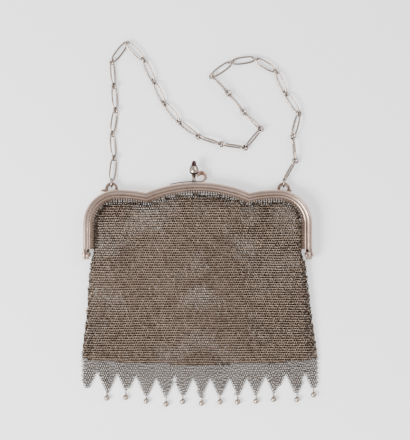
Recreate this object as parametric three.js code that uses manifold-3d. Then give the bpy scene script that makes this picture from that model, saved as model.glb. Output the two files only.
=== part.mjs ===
// An evening purse of fine metal ring mesh on a bow-shaped frame with a long chain, lying on its back.
// Millimetres, +Z up. The frame opens towards -Y, the chain lies beyond it towards +Y.
// All places are measured from the middle of the line through the two hinges, on the surface.
import * as THREE from "three";
import { mergeVertices } from "three/addons/utils/BufferGeometryUtils.js";
import Module from "manifold-3d";

const wasm = await Module();
wasm.setup();

// Frame: two pressed jaws, closed face to face
const frameHalfWidth = 74; // from the middle to the outside of an arm
const frameThickness = 9.6; // both jaws, closed
const armLength = 20; // from the hinge line to the foot of the corner
const cornerRadius = 22;
const cuspHalfWidth = 33.5; // from the middle to a cusp
const cuspDrop = 1.9; // from the top of the shoulder down to the cusp
const archRise = 6.7; // from the cusps up to the top of the middle arch
const bandWidth = 6.9; // from the outer edge to the pierced edge
const beadWidth = 3.3; // round outer bead
const grooveWidth = 0.6;
const ridgeWidth = 1;
const grooveDepth = 0.8;
const ridgeDrop = 0.2; // the ridge lies this far below the bead
const flangeDrop = 0.9; // the pierced edge lies this far below the bead
const plateThickness = 0.8;
const lipThickness = 1.1; // outer wall that meets the other jaw

// Clearances
const clearance = 0.3; // between pieces that touch
const chainBite = 0.12; // how far neighbouring links sink into each other

// Hinges: an ear on each jaw and a rivet through both
const earRadius = 3.3;
const earThickness = 1.8;
const earNeckSink = 2.2; // how far an ear's neck runs into its arm
const pinRadius = 0.9;
const pinHeadRadius = 1.6;
const pinHeadThickness = 0.8;

// Lugs for the chain, on the back jaw
const lugOffset = 3.8; // outwards from where the corner begins
const lugWidth = 8.4;
const lugHeight = 4.9; // above the shoulder
const lugStrip = 2;
const lugDepth = 2;
const lugMiddleHeight = 3.2; // above the surface
const lugSink = 0.6; // how far its feet run into the frame's outer wall

// Mesh pouch
const meshWall = 1.2;
const bodyLength = 67.4; // from the hinge line to the fringe, at the sides
const bodyBow = 3.8; // the middle of the lower edge hangs this much lower
const bowFlatness = 2.5; // how flat that edge is in its middle
const bodyWidth = 154.7; // along the lower edge
const bodyShift = 1.4; // the lower edge lies this far to the right
const mouthGap = 0.5; // from the pierced edge to the mesh
const pouchMouthDepth = 8.5;
const fanPower = 1.5; // above 1 the sheets spread towards the lower edge mostly below the frame
const sideSharpness = 200; // how closely the side folds keep to the sides
const foldFade = 4; // how quickly a fold fades above and below its strongest place

// Fringe: points cut in a single layer of the mesh, with a ball on a ring at each tip
const pointCount = 13;
const pointLength = 20; // from the body to a tip
const fringeThickness = 1.3;
const tipWidth = 1.6;
const tipHoleRadius = 0.68;
const tipHoleInset = 1.15; // from the tip to the middle of its hole
const ballRadius = 1.8;
const dropRingRadius = 1; // middle of the wire
const dropWire = 0.5;
const ballSink = 0.25; // how far the jump ring is let into its ball

// Clasp
const knobOffset = -2.4; // to the left of the middle
const knobStemRadius = 1.1;
const knobStemLength = 4.6;
const knobRadius = 3;
const knobLift = 1.8; // its middle above the line where the jaws meet
const stoneRadius = 1.65;
const stoneHeight = 3.4;
const settingWall = 0.3;
const settingDepth = 0.5;
const hookThickness = 0.7;
const hookWidth = 3.2;
const hookFootOffset = -18; // where its foot is riveted, left of the middle
const hookBendOffset = 2.1; // where it leaves the frame and curls up
const scrollRadius = 3.2;
const scrollEndRadius = 1.4;
const scrollTwist = 62; // degrees that its end has turned to face up

// Chain: long oval links joined by small rings
const linkLength = 15.6;
const linkWidth = 5.2;
const chainWire = 1.15;
const ringWidth = 4.4;
const endRingWidth = 6.3;
const endRingWire = 1.2;

// Rings of the chain, as it was laid down, from the left lug to the right one. Each row has the place
// of a ring and the roll in degrees of the link that leaves it: 0 lies flat, 90 stands on its edge.
const firstLinkRoll = 25;
const chainRoute = [
  { x: -55.1, y: 61.6, roll: 42 },
  { x: -54.7, y: 77.3, roll: 40 },
  { x: -54.2, y: 92.8, roll: 42 },
  { x: -54.2, y: 108.7, roll: 54 },
  { x: -53.2, y: 122.3, roll: 28 },
  { x: -49.6, y: 133, roll: 8 },
  { x: -34.9, y: 127.4, roll: 32 },
  { x: -29.1, y: 113.4, roll: 42 },
  { x: -22.6, y: 97.9, roll: 32 },
  { x: -12.7, y: 85.4, roll: 54 },
  { x: -0.1, y: 75.3, roll: 70 },
  { x: 16.3, y: 70.9, roll: 72 },
  { x: 33.3, y: 68.9, roll: 66 },
  { x: 41.8, y: 80.7, roll: 72 },
  { x: 29.6, y: 92.4, roll: 80 },
  { x: 19.4, y: 105.2, roll: 78 },
  { x: 8.5, y: 115.7, roll: 20 },
  { x: 21.3, y: 125.0, roll: 8 },
  { x: 38.2, y: 127.3, roll: 10 },
  { x: 51.3, y: 118.0, roll: 36 },
  { x: 57.7, y: 103.7, roll: 42 },
  { x: 64.0, y: 88.7, roll: 46 },
  { x: 62.3, y: 74.8, roll: 78 },
  { x: 60.4, y: 60.2, roll: 72 },
];

// The fringe's points, left to right: shift from an even spacing, as a share of it, and the lengths
// down to the tip and to the notch after it, as shares of the point length. The first lost its ball.
const fringePoints = [
  { shift: -0.13, tip: 1.02, notch: 0.38, ball: false },
  { shift: -0.07, tip: 1.06, notch: 0.42, ball: true },
  { shift: -0.04, tip: 1, notch: 0.43, ball: true },
  { shift: 0.08, tip: 1.09, notch: 0.49, ball: true },
  { shift: 0.16, tip: 1.17, notch: 0.47, ball: true },
  { shift: 0.07, tip: 1.08, notch: 0.5, ball: true },
  { shift: 0.1, tip: 1.13, notch: 0.49, ball: true },
  { shift: 0.1, tip: 1.09, notch: 0.49, ball: true },
  { shift: 0.06, tip: 1.1, notch: 0.46, ball: true },
  { shift: 0.07, tip: 1.09, notch: 0.46, ball: true },
  { shift: 0.03, tip: 1.06, notch: 0.47, ball: true },
  { shift: 0.3, tip: 1.11, notch: 0.42, ball: true },
  { shift: 0.21, tip: 1.01, notch: 0.79, ball: true },
];

// The pouch from its mouth to its lower edge: depth front to back as a share of the mouth's, and how
// far the side folds stand out, as a share of half the lower width.
const pouchRows = [
  { down: 0, depth: 1, out: 0 },
  { down: 0.09, depth: 0.97, out: 0.026 },
  { down: 0.29, depth: 0.9, out: 0.018 },
  { down: 0.52, depth: 0.78, out: 0.007 },
  { down: 0.78, depth: 0.58, out: 0.003 },
  { down: 1, depth: 0.36, out: 0 },
];

// Soft upright folds of the front: place and width across the purse, the height where they are
// strongest, and their rise or fall as a share of the depth there.
const pouchFolds = [
  { across: 0.2, width: 0.07, down: 0.45, rise: 0.06 },
  { across: 0.3, width: 0.05, down: 0.3, rise: -0.08 },
  { across: 0.4, width: 0.06, down: 0.4, rise: 0.05 },
  { across: 0.68, width: 0.06, down: 0.35, rise: -0.06 },
  { across: 0.85, width: 0.06, down: 0.55, rise: 0.07 },
];

const middleHeight = frameThickness / 2;
const shoulderTop = armLength + cornerRadius;
const cornerX = frameHalfWidth - cornerRadius;
const lugX = cornerX + lugOffset;
const archTop = shoulderTop - cuspDrop + archRise;
const armFoot = earRadius + clearance; // the arms' channel starts above the hinge
const wireSides = 5;
const linkSides = 10;
const ovalPower = 0.77; // 1 is an ellipse, less is closer to a rectangle

// Materials
const metal = (color, roughness) =>
  new THREE.MeshStandardMaterial({ color, roughness, metalness: 1 });
const frameSilver = metal(0xb9aca2, 0.38);
const meshSilver = metal(0xa59a91, 0.5);
const chainSilver = metal(0xc6bdb8, 0.3);
const dropSilver = metal(0xd2cac2, 0.25);
const garnet = new THREE.MeshStandardMaterial({ color: 0x3a0f10, roughness: 0.1, metalness: 0 });

// A geometry of indexed triangles, turned round where its faces point inwards.
function closedGeometry(points, triangles) {
  const [a, b, c] = [new THREE.Vector3(), new THREE.Vector3(), new THREE.Vector3()];
  let volume = 0;
  for (const [i, j, k] of triangles) {
    volume += a.copy(points[i]).dot(b.copy(points[j]).cross(c.copy(points[k])));
  }
  const facing = volume < 0 ? triangles.map(([i, j, k]) => [i, k, j]) : triangles;
  const geometry = new THREE.BufferGeometry().setFromPoints(points);
  geometry.setIndex(facing.flat());
  geometry.computeVertexNormals();
  return geometry;
}

// Geometry to solid and back, for joins and cuts.
function solidOf(geometry) {
  const bare = geometry.clone();
  bare.deleteAttribute("normal");
  bare.deleteAttribute("uv");
  const merged = mergeVertices(bare, 1e-4);
  return new wasm.Manifold(
    new wasm.Mesh({
      numProp: 3,
      vertProperties: new Float32Array(merged.attributes.position.array),
      triVerts: new Uint32Array(merged.index.array),
    }),
  );
}

function geometryOf(solid) {
  const mesh = solid.getMesh();
  const geometry = new THREE.BufferGeometry();
  geometry.setAttribute("position", new THREE.BufferAttribute(mesh.vertProperties, mesh.numProp));
  geometry.setIndex(new THREE.BufferAttribute(mesh.triVerts, 1));
  geometry.computeVertexNormals();
  return geometry;
}

function fuse(...geometries) {
  return geometryOf(geometries.map(solidOf).reduce((all, next) => all.add(next)));
}

// Skins a row of equal rings of points. Each ring is closed, and so is the row where it is a loop.
function loft(rings, isLoop) {
  const count = rings[0].length;
  const triangles = [];
  const rows = isLoop ? rings.length : rings.length - 1;
  for (let r = 0; r < rows; r++) {
    const next = (r + 1) % rings.length;
    for (let k = 0; k < count; k++) {
      const [a, b] = [r * count + k, r * count + ((k + 1) % count)];
      const [c, d] = [next * count + ((k + 1) % count), next * count + k];
      triangles.push([a, b, c], [a, c, d]);
    }
  }
  return triangles;
}

// The frame's outer edge from the left hinge over the top to the right one. Each point carries the
// way out of the purse, lengthened at the cusps so that parallel edges stay parallel there.
function frameEdge(cornerSteps = 4, shoulderSteps = 2, archSteps = 3) {
  const shoulderRun = cornerX - cuspHalfWidth;
  const shoulderRadius = (shoulderRun ** 2 + cuspDrop ** 2) / (2 * cuspDrop);
  const archRadius = (cuspHalfWidth ** 2 + archRise ** 2) / (2 * archRise);
  const archAngle = Math.asin(cuspHalfWidth / archRadius);
  const shoulderAngle = Math.asin(shoulderRun / shoulderRadius);
  const right = [];
  const arc = (x, y, radius, from, to, steps, first) => {
    for (let i = first; i <= steps; i++) {
      const angle = from + ((to - from) * i) / steps;
      const [outX, outY] = [Math.sin(angle), Math.cos(angle)];
      right.push({ x: x + radius * outX, y: y + radius * outY, outX, outY });
    }
  };
  arc(0, archTop - archRadius, archRadius, 0, archAngle, archSteps, 0);
  const cusp = right[right.length - 1];
  const shoulderOutX = -Math.sin(shoulderAngle);
  const shoulderOutY = Math.cos(shoulderAngle);
  const mitre = 1 + cusp.outX * shoulderOutX + cusp.outY * shoulderOutY;
  cusp.outX = (cusp.outX + shoulderOutX) / mitre;
  cusp.outY = (cusp.outY + shoulderOutY) / mitre;
  arc(cornerX, shoulderTop - shoulderRadius, shoulderRadius, -shoulderAngle, 0, shoulderSteps, 1);
  arc(cornerX, armLength, cornerRadius, 0, Math.PI / 2, cornerSteps, 1);
  right.push({ x: frameHalfWidth, y: armFoot, outX: 1, outY: 0 });
  const left = right.slice(1).map((p) => ({ ...p, x: -p.x, outX: -p.outX }));
  return [...left.reverse(), ...right];
}

// One jaw: bead, groove, ridge and pierced edge over an outer wall that ends at the parting line.
// side is 1 for the front jaw and -1 for the back one.
function jawBand(side) {
  const height = (z) => middleHeight + side * z;
  const top = middleHeight;
  const bead = beadWidth / 2;
  const ridgeStart = beadWidth + grooveWidth;
  const ridgeEnd = ridgeStart + ridgeWidth;
  const flangeTop = top - flangeDrop;
  const inside = flangeTop - plateThickness;
  const section = [
    [0, clearance / 2],
    [0, top - bead],
    [bead * 0.3, top - bead * 0.3],
    [bead, top],
    [bead * 1.7, top - bead * 0.3],
    [beadWidth, top - grooveDepth],
    [ridgeStart, top - grooveDepth],
    [(ridgeStart + ridgeEnd) / 2, top - ridgeDrop],
    [ridgeEnd, flangeTop],
    [bandWidth, flangeTop],
    [bandWidth, inside],
    [lipThickness, inside],
    [lipThickness, clearance / 2],
  ];
  const rings = frameEdge().map((p) =>
    section.map(([inward, z]) =>
      new THREE.Vector3(p.x - p.outX * inward, p.y - p.outY * inward, height(z)),
    ),
  );
  const triangles = loft(rings, false);
  const flat = section.map(([inward, z]) => new THREE.Vector2(inward, z));
  const cap = THREE.ShapeUtils.triangulateShape(flat, []);
  const clockwise = THREE.ShapeUtils.isClockWise(flat);
  const last = (rings.length - 1) * section.length;
  for (const [i, j, k] of cap) {
    const start = clockwise ? [i, j, k] : [i, k, j];
    triangles.push(start, [last + start[0], last + start[2], last + start[1]]);
  }
  return closedGeometry(rings.flat(), triangles);
}

// A jaw's ear: a drilled disc on the hinge line, with a neck up into the arm.
// The front jaw's ears lie outside those of the back jaw.
function hingeEar(side, leftRight) {
  const outer = side > 0 ? frameHalfWidth : frameHalfWidth - earThickness - clearance;
  const neckTop = armFoot + earNeckSink;
  const shape = new THREE.Shape();
  const neckOuter = side * (middleHeight - flangeDrop - plateThickness / 2);
  shape.moveTo(0, neckOuter);
  shape.lineTo(neckTop, neckOuter);
  shape.lineTo(neckTop, (side * clearance) / 2);
  shape.lineTo(earRadius, (side * clearance) / 2);
  shape.absarc(0, 0, earRadius, 0, side > 0 ? -Math.PI * 1.5 : Math.PI * 1.5, side > 0);
  const hole = new THREE.Path().absarc(0, 0, pinRadius + clearance, 0, Math.PI * 2);
  shape.holes.push(hole);
  const ear = new THREE.ExtrudeGeometry(shape, {
    depth: earThickness,
    curveSegments: 5,
    bevelEnabled: false,
  });
  // the shape's x runs along the arm, its y up from the parting line, and it is as thick as X
  const turned = new THREE.Matrix4().makeBasis(
    new THREE.Vector3(0, 1, 0),
    new THREE.Vector3(0, 0, 1),
    new THREE.Vector3(1, 0, 0),
  );
  ear.applyMatrix4(turned);
  ear.translate(leftRight > 0 ? outer - earThickness : -outer, 0, middleHeight);
  return ear;
}

// A lug: an upright arch of strip soldered on the shoulder, for the chain's end ring.
function chainLug(leftRight) {
  const outer = lugWidth / 2;
  const inner = outer - lugStrip;
  const arcMiddle = shoulderTop + lugHeight - outer;
  const foot = shoulderTop - lipThickness - lugSink;
  const shape = new THREE.Shape();
  shape.moveTo(outer, foot);
  shape.absarc(0, arcMiddle, outer, 0, Math.PI, false);
  shape.lineTo(-outer, foot);
  shape.lineTo(-inner, foot);
  shape.absarc(0, arcMiddle, inner, Math.PI, 0, true);
  shape.lineTo(inner, foot);
  const lug = new THREE.ExtrudeGeometry(shape, {
    depth: lugDepth,
    curveSegments: 6,
    bevelEnabled: false,
  });
  lug.translate(leftRight * lugX, 0, lugMiddleHeight - lugDepth / 2);
  return lug;
}

function frontJaw() {
  return fuse(jawBand(1), hingeEar(1, -1), hingeEar(1, 1));
}

function backJaw() {
  return fuse(jawBand(-1), hingeEar(-1, -1), hingeEar(-1, 1), chainLug(-1), chainLug(1));
}

// Turns a profile of [radius, along] pairs round the Y axis.
function turned(profile, sides) {
  const points = profile.map(([radius, along]) => new THREE.Vector2(radius, along));
  return new THREE.LatheGeometry(points, sides);
}

// The rivet through a pair of ears, with a head on either side.
function hingePin(leftRight) {
  const shank = 2 * earThickness + 3 * clearance;
  const profile = [
    [0, -pinHeadThickness],
    [pinHeadRadius, -pinHeadThickness],
    [pinHeadRadius, 0],
    [pinRadius, 0],
    [pinRadius, shank],
    [pinHeadRadius, shank],
    [pinHeadRadius * 0.6, shank + pinHeadThickness],
    [0, shank + pinHeadThickness],
  ];
  const pin = turned(profile, 10);
  pin.rotateZ(-leftRight * Math.PI * 0.5);
  pin.translate(leftRight * (frameHalfWidth + clearance - shank), 0, middleHeight);
  return pin;
}

// How much the front's folds lift or lower it, as a share of the depth.
function foldAt(across, down) {
  return pouchFolds.reduce((sum, fold) => {
    const side = Math.exp(-(((across - fold.across) / fold.width) ** 2));
    const along = Math.sin(Math.PI * down) * Math.exp(-((down - fold.down) ** 2) * foldFade);
    return sum + fold.rise * side * along;
  }, 0);
}

const lowerEdge = (across) => ({
  x: bodyShift + bodyWidth * (across - 0.5),
  y: -bodyLength - bodyBow * (1 - Math.abs(2 * across - 1) ** bowFlatness),
});

// The mesh pouch: front and back sheets that join in the side folds and the lower edge, open along
// the whole frame. It lies flat on its back.
function meshPouch() {
  const inward = bandWidth + mouthGap;
  const arms = frameEdge();
  const edge = [{ ...arms[0], y: 0 }, ...arms, { ...arms[arms.length - 1], y: 0 }];
  const mouth = edge.map((p) => ({ x: p.x - p.outX * inward, y: p.y - p.outY * inward }));
  const reach = [0];
  for (let i = 1; i < mouth.length; i++) {
    const step = Math.hypot(mouth[i].x - mouth[i - 1].x, mouth[i].y - mouth[i - 1].y);
    reach.push(reach[i - 1] + step);
  }
  const shares = reach.map((length) => length / reach[reach.length - 1]);
  const last = mouth.length - 1;

  // one ring round the pouch: along the front from left to right, and back along the back
  const ring = (row, isInner) => {
    const front = [];
    const back = [];
    shares.forEach((across, i) => {
      const low = lowerEdge(across);
      const atEnd = i === 0 || i === last;
      const outFold = row.out * (bodyWidth / 2) * Math.abs(2 * across - 1) ** sideSharpness;
      const toSide = Math.sign(across - 0.5);
      const spread = atEnd ? row.down : row.down ** fanPower;
      let x = mouth[i].x + (low.x - mouth[i].x) * spread + toSide * outFold;
      let y = mouth[i].y + (low.y - mouth[i].y) * row.down;
      const depth = pouchMouthDepth * row.depth * (1 + foldAt(across, row.down));
      const half = depth / 2;
      let swell = atEnd ? 0.35 : 1;
      let reachUp = half;
      if (isInner) {
        swell = atEnd ? 0.5 : 1;
        reachUp = half - meshWall;
        if (atEnd) x -= toSide * meshWall;
        if (row.down === 1) y += meshWall;
      }
      front.push(new THREE.Vector3(x, y, half + reachUp * swell));
      back.push(new THREE.Vector3(x, y, half - reachUp * swell));
    });
    return [...front, ...back.reverse()];
  };
  const outer = pouchRows.map((row) => ring(row, false));
  const inner = pouchRows.map((row) => ring(row, true));
  const around = outer[0].length;
  const innerStart = outer.length * around;
  const triangles = loft(outer, false);
  for (const [a, b, c] of loft(inner, false)) {
    triangles.push([innerStart + a, innerStart + c, innerStart + b]);
  }
  for (let k = 0; k < around; k++) {
    const next = (k + 1) % around;
    triangles.push([next, k, innerStart + k], [next, innerStart + k, innerStart + next]);
  }
  const lowRow = (outer.length - 1) * around;
  for (let i = 0; i < last; i++) {
    const corners = [i, i + 1, around - 2 - i, around - 1 - i].map((k) => lowRow + k);
    const [a, b, c, d] = corners;
    triangles.push([a, b, c], [a, c, d]);
    triangles.push([innerStart + a, innerStart + c, innerStart + b]);
    triangles.push([innerStart + a, innerStart + d, innerStart + c]);
  }
  return closedGeometry([...outer, ...inner].flat(), triangles);
}

// Where each point of the fringe ends, and how high its ball lies.
function fringeTips() {
  const pitch = bodyWidth / pointCount;
  return fringePoints.map((point, i) => {
    const across = (i + 0.5) / pointCount;
    const low = lowerEdge(across);
    return { x: low.x + point.shift * pitch, y: low.y - point.tip * pointLength, across };
  });
}

// The fringe: a flat single layer along the pouch's lower edge, cut in points, with a ring hole at
// each tip that has a ball.
function meshFringe() {
  const tips = fringeTips();
  const shape = new THREE.Shape();
  const start = lowerEdge(0);
  shape.moveTo(start.x, start.y - clearance);
  const sideNotch = fringePoints[pointCount - 1].notch * pointLength;
  shape.lineTo(start.x - clearance, start.y - sideNotch);
  tips.forEach((tip, i) => {
    shape.lineTo(tip.x - tipWidth / 2, tip.y);
    shape.lineTo(tip.x + tipWidth / 2, tip.y);
    if (i < pointCount - 1) {
      const low = lowerEdge((i + 1) / pointCount);
      shape.lineTo((tip.x + tips[i + 1].x) / 2, low.y - fringePoints[i].notch * pointLength);
    }
    if (fringePoints[i].ball) {
      const hole = new THREE.Path();
      hole.absarc(tip.x, tip.y + tipHoleInset, tipHoleRadius, 0, Math.PI * 2);
      shape.holes.push(hole);
    }
  });
  const end = lowerEdge(1);
  shape.lineTo(end.x + clearance, end.y - sideNotch);
  for (let i = pointCount; i >= 1; i--) {
    const low = lowerEdge(i / pointCount);
    shape.lineTo(low.x, low.y - clearance);
  }
  const fringe = new THREE.ExtrudeGeometry(shape, {
    depth: fringeThickness,
    curveSegments: 3,
    bevelEnabled: false,
  });
  fringe.translate(0, 0, dropRingRadius + dropWire / 2 - fringeThickness / 2);
  return fringe;
}

// A closed wire along a flat loop of points, each with its way out of the loop.
function wireLoop(points, wireRadius, normal) {
  const rings = points.map(({ place, out }) => {
    const ring = [];
    for (let k = 0; k < wireSides; k++) {
      // an edge of the wire faces into the loop, where the next link lies
      const angle = Math.PI + (k * Math.PI * 2) / wireSides;
      ring.push(
        place
          .clone()
          .addScaledVector(normal, wireRadius * Math.sin(angle))
          .addScaledVector(out, wireRadius * Math.cos(angle)),
      );
    }
    return ring;
  });
  return closedGeometry(rings.flat(), loft(rings, true));
}

// A link round a middle: a round ring, or an oval whose long sides are nearly straight.
// along and normal are unit vectors at right angles.
function wireLink(middle, along, normal, length, width, wire) {
  const across = new THREE.Vector3().crossVectors(normal, along);
  const [halfLength, halfWidth] = [(length - wire) / 2, (width - wire) / 2];
  const power = length > width ? ovalPower : 1;
  const perEnd = linkSides / 2;
  const points = [];
  for (let i = 0; i < linkSides; i++) {
    const turn = ((i % perEnd) - (perEnd - 1) / 2) / perEnd;
    const angle = turn * Math.PI + (i < perEnd ? 0 : Math.PI);
    const bulge = (value) => Math.sign(value) * Math.abs(value) ** power;
    const [a, b] = [bulge(Math.cos(angle)), bulge(Math.sin(angle))];
    const place = middle
      .clone()
      .addScaledVector(along, halfLength * a)
      .addScaledVector(across, halfWidth * b);
    // square to the oval at that point
    const out = new THREE.Vector3()
      .addScaledVector(along, (Math.sign(a) * Math.abs(a) ** (2 / power - 1)) / halfLength)
      .addScaledVector(across, (Math.sign(b) * Math.abs(b) ** (2 / power - 1)) / halfWidth)
      .normalize();
    points.push({ place, out });
  }
  return wireLoop(points, wire / 2, normal);
}

// A ball on its jump ring, lying on the surface below a tip.
function ballDrop(tip) {
  const ringHeight = dropRingRadius + dropWire / 2;
  const ringMiddle = tip.y + tipHoleInset - dropRingRadius;
  const ballMiddle = ringMiddle - dropRingRadius - dropWire / 2 - ballRadius + ballSink;
  const width = 2 * dropRingRadius + dropWire;
  const ring = wireLink(
    new THREE.Vector3(tip.x, ringMiddle, ringHeight),
    new THREE.Vector3(0, 1, 0),
    new THREE.Vector3(1, 0, 0),
    width,
    width,
    dropWire,
  );
  const ballSteps = 4;
  const profile = [];
  for (let i = 0; i <= ballSteps; i++) {
    const angle = (Math.PI * i) / ballSteps - Math.PI / 2;
    profile.push([ballRadius * Math.cos(angle), ballRadius * Math.sin(angle)]);
  }
  profile[0][0] = 0;
  profile[ballSteps][0] = 0;
  const ball = turned(profile, 10);
  ball.translate(tip.x, ballMiddle, ballRadius);
  return fuse(ball, ring);
}

// The clasp's knob: a stem and a pear-shaped ball with a cup for the stone.
function claspKnob() {
  const ball = knobStemLength + knobRadius;
  const cupRadius = stoneRadius + clearance + settingWall;
  const cupTop = ball + knobRadius;
  const profile = [
    [0, 0],
    [knobStemRadius, 0],
    [knobStemRadius, knobStemLength],
    [knobRadius * 0.78, ball - knobRadius * 0.75],
    [knobRadius, ball - knobRadius * 0.2],
    [knobRadius * 0.95, ball + knobRadius * 0.3],
    [cupRadius, ball + knobRadius * 0.8],
    [cupRadius, cupTop],
    [cupRadius - settingWall, cupTop],
    [cupRadius - settingWall, cupTop - settingDepth],
    [0, cupTop - settingDepth],
  ];
  const knob = turned(profile, 12);
  knob.translate(knobOffset, archTop + clearance, middleHeight + knobLift);
  return knob;
}

// The stone: a bullet-shaped cabochon in the cup.
function claspStone() {
  const profile = [
    [0, 0],
    [stoneRadius, 0],
    [stoneRadius, stoneHeight * 0.3],
    [stoneRadius * 0.8, stoneHeight * 0.6],
    [stoneRadius * 0.42, stoneHeight * 0.9],
    [0, stoneHeight],
  ];
  const stone = turned(profile, 12);
  const seat = archTop + clearance + knobStemLength + 2 * knobRadius - settingDepth + clearance;
  stone.translate(knobOffset, seat, middleHeight + knobLift);
  return stone;
}

// The clasp's spring: a strip riveted on the back jaw that lies along the arch and curls up in a
// scroll beside the knob.
function claspHook() {
  const archRadius = (cuspHalfWidth ** 2 + archRise ** 2) / (2 * archRise);
  const lie = archRadius + clearance + hookThickness / 2;
  const route = [];
  const archSteps = 8;
  const from = Math.asin(hookFootOffset / lie);
  const to = Math.asin(hookBendOffset / lie);
  for (let i = 0; i <= archSteps; i++) {
    const angle = from + ((to - from) * i) / archSteps;
    route.push([lie * Math.sin(angle), archTop - archRadius + lie * Math.cos(angle)]);
  }
  const [bendX, bendY] = route[archSteps];
  const scrollSteps = 14;
  const scrollTurn = Math.PI * 1.55;
  for (let i = 1; i <= scrollSteps; i++) {
    const share = i / scrollSteps;
    const angle = share * scrollTurn - Math.PI / 2 - to;
    const radius = scrollRadius + (scrollEndRadius - scrollRadius) * share ** 2;
    route.push([bendX + radius * Math.cos(angle), bendY + scrollRadius + radius * Math.sin(angle)]);
  }
  const low = middleHeight - clearance - hookWidth;
  const rings = route.map(([x, y], i) => {
    const [before, after] = [route[Math.max(0, i - 1)], route[Math.min(route.length - 1, i + 1)]];
    const way = new THREE.Vector2(after[0] - before[0], after[1] - before[1]).normalize();
    const out = new THREE.Vector3(way.y, -way.x, 0);
    const up = new THREE.Vector3(0, 0, 1);
    // in the scroll the upper edge leans out, so that the hollow side shows from above
    const share = Math.max(0, (i - archSteps) / scrollSteps);
    const lean = THREE.MathUtils.degToRad(scrollTwist * (1 - (1 - share) ** 2));
    const across = up.clone().multiplyScalar(Math.cos(lean)).addScaledVector(out, Math.sin(lean));
    const thick = out.clone().multiplyScalar(Math.cos(lean)).addScaledVector(up, -Math.sin(lean));
    return [[-1, -1], [1, -1], [1, 1], [-1, 1]].map(([side, edge]) =>
      new THREE.Vector3(x, y, low + hookWidth / 2)
        .addScaledVector(thick, (side * hookThickness) / 2)
        .addScaledVector(across, (edge * hookWidth) / 2),
    );
  });
  const triangles = loft(rings, false);
  const end = (rings.length - 1) * 4;
  triangles.push([0, 2, 1], [0, 3, 2], [end, end + 1, end + 2], [end, end + 2, end + 3]);
  return closedGeometry(rings.flat(), triangles);
}

// How high a loop of wire stands when it is rolled about its length.
const standing = (width, wire, roll) =>
  ((width - wire) / 2) * Math.abs(Math.sin(roll)) + wire / 2;

// The chain from lug to lug, fused in one body. The rings of the route are drawn together or apart
// until each link fits between its two rings, with the end rings held in the lugs.
function wholeChain() {
  const radians = THREE.MathUtils.degToRad;
  const rolls = [firstLinkRoll, ...chainRoute.map((row) => row.roll)].map(radians);
  const strip = shoulderTop + lugHeight - lugStrip / 2;
  const endPlay = endRingWidth / 2 - endRingWire - lugStrip / 2 - clearance;
  const lugRing = (leftRight) =>
    new THREE.Vector3(leftRight * lugX, strip + endPlay, lugMiddleHeight);

  // where a link lies in its end ring: as low as the lug's strip and the surface allow
  const seat = (roll) => {
    const reach = endRingWidth / 2 - endRingWire - chainWire / 2 + chainBite;
    const pastStrip = lugStrip / 2 + clearance + chainWire / 2 - endPlay;
    const lowest = -Math.sqrt(reach ** 2 - pastStrip ** 2);
    const z = Math.max(lowest, standing(linkWidth, chainWire, roll) - lugMiddleHeight);
    return new THREE.Vector3(0, Math.sqrt(reach ** 2 - z ** 2), z);
  };
  const ringRoll = (i) => (rolls[i - 1] + rolls[i]) / 2 + Math.PI / 2;
  const joints = chainRoute.map(({ x, y }, index) => {
    const i = index + 1;
    const highest = Math.max(
      standing(ringWidth, chainWire, ringRoll(i)),
      standing(linkWidth, chainWire, rolls[i - 1]),
      standing(linkWidth, chainWire, rolls[i]),
    );
    return new THREE.Vector3(x, y, highest);
  });
  joints.unshift(lugRing(-1).add(seat(rolls[0])));
  joints.push(lugRing(1).add(seat(rolls[rolls.length - 1])));
  const last = joints.length - 1;

  // from the middle of a ring to the middle of the wire of a link in it
  const inRing = ringWidth / 2 - 1.5 * chainWire + chainBite;
  const hold = (i) => (i === 0 || i === last ? 0 : inRing);
  const settlingPasses = 600;
  for (let pass = 0; pass < settlingPasses; pass++) {
    for (let i = 0; i < last; i++) {
      const wanted = linkLength - chainWire + hold(i) + hold(i + 1);
      const way = new THREE.Vector3().subVectors(joints[i + 1], joints[i]);
      const excess = way.length() - wanted;
      way.normalize();
      const shares = i === 0 ? [0, 1] : i === last - 1 ? [1, 0] : [0.5, 0.5];
      // the height of a ring is set by what stands on the surface
      way.z = 0;
      joints[i].addScaledVector(way, excess * shares[0]);
      joints[i + 1].addScaledVector(way, -excess * shares[1]);
    }
  }

  const up = new THREE.Vector3(0, 0, 1);
  const rolledNormal = (along, roll) => {
    const flat = up.clone().addScaledVector(along, -up.dot(along)).normalize();
    return flat.applyAxisAngle(along, roll);
  };
  const solids = [];
  for (let i = 0; i < last; i++) {
    const along = new THREE.Vector3().subVectors(joints[i + 1], joints[i]).normalize();
    const from = joints[i].clone().addScaledVector(along, hold(i));
    const to = joints[i + 1].clone().addScaledVector(along, -hold(i + 1));
    const middle = from.add(to).multiplyScalar(0.5);
    const normal = rolledNormal(along, rolls[i]);
    solids.push(wireLink(middle, along, normal, linkLength, linkWidth, chainWire));
  }
  for (let i = 1; i < last; i++) {
    const along = new THREE.Vector3().subVectors(joints[i + 1], joints[i - 1]).normalize();
    const normal = rolledNormal(along, ringRoll(i));
    solids.push(wireLink(joints[i], along, normal, ringWidth, ringWidth, chainWire));
  }
  for (const leftRight of [-1, 1]) {
    const along = new THREE.Vector3(0, 1, 0);
    const normal = new THREE.Vector3(1, 0, 0);
    const middle = lugRing(leftRight);
    solids.push(wireLink(middle, along, normal, endRingWidth, endRingWidth, endRingWire));
  }
  return fuse(...solids);
}

const purse = new THREE.Group();
function place(name, geometry, material) {
  const mesh = new THREE.Mesh(geometry, material);
  mesh.name = name;
  purse.add(mesh);
}

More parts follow.
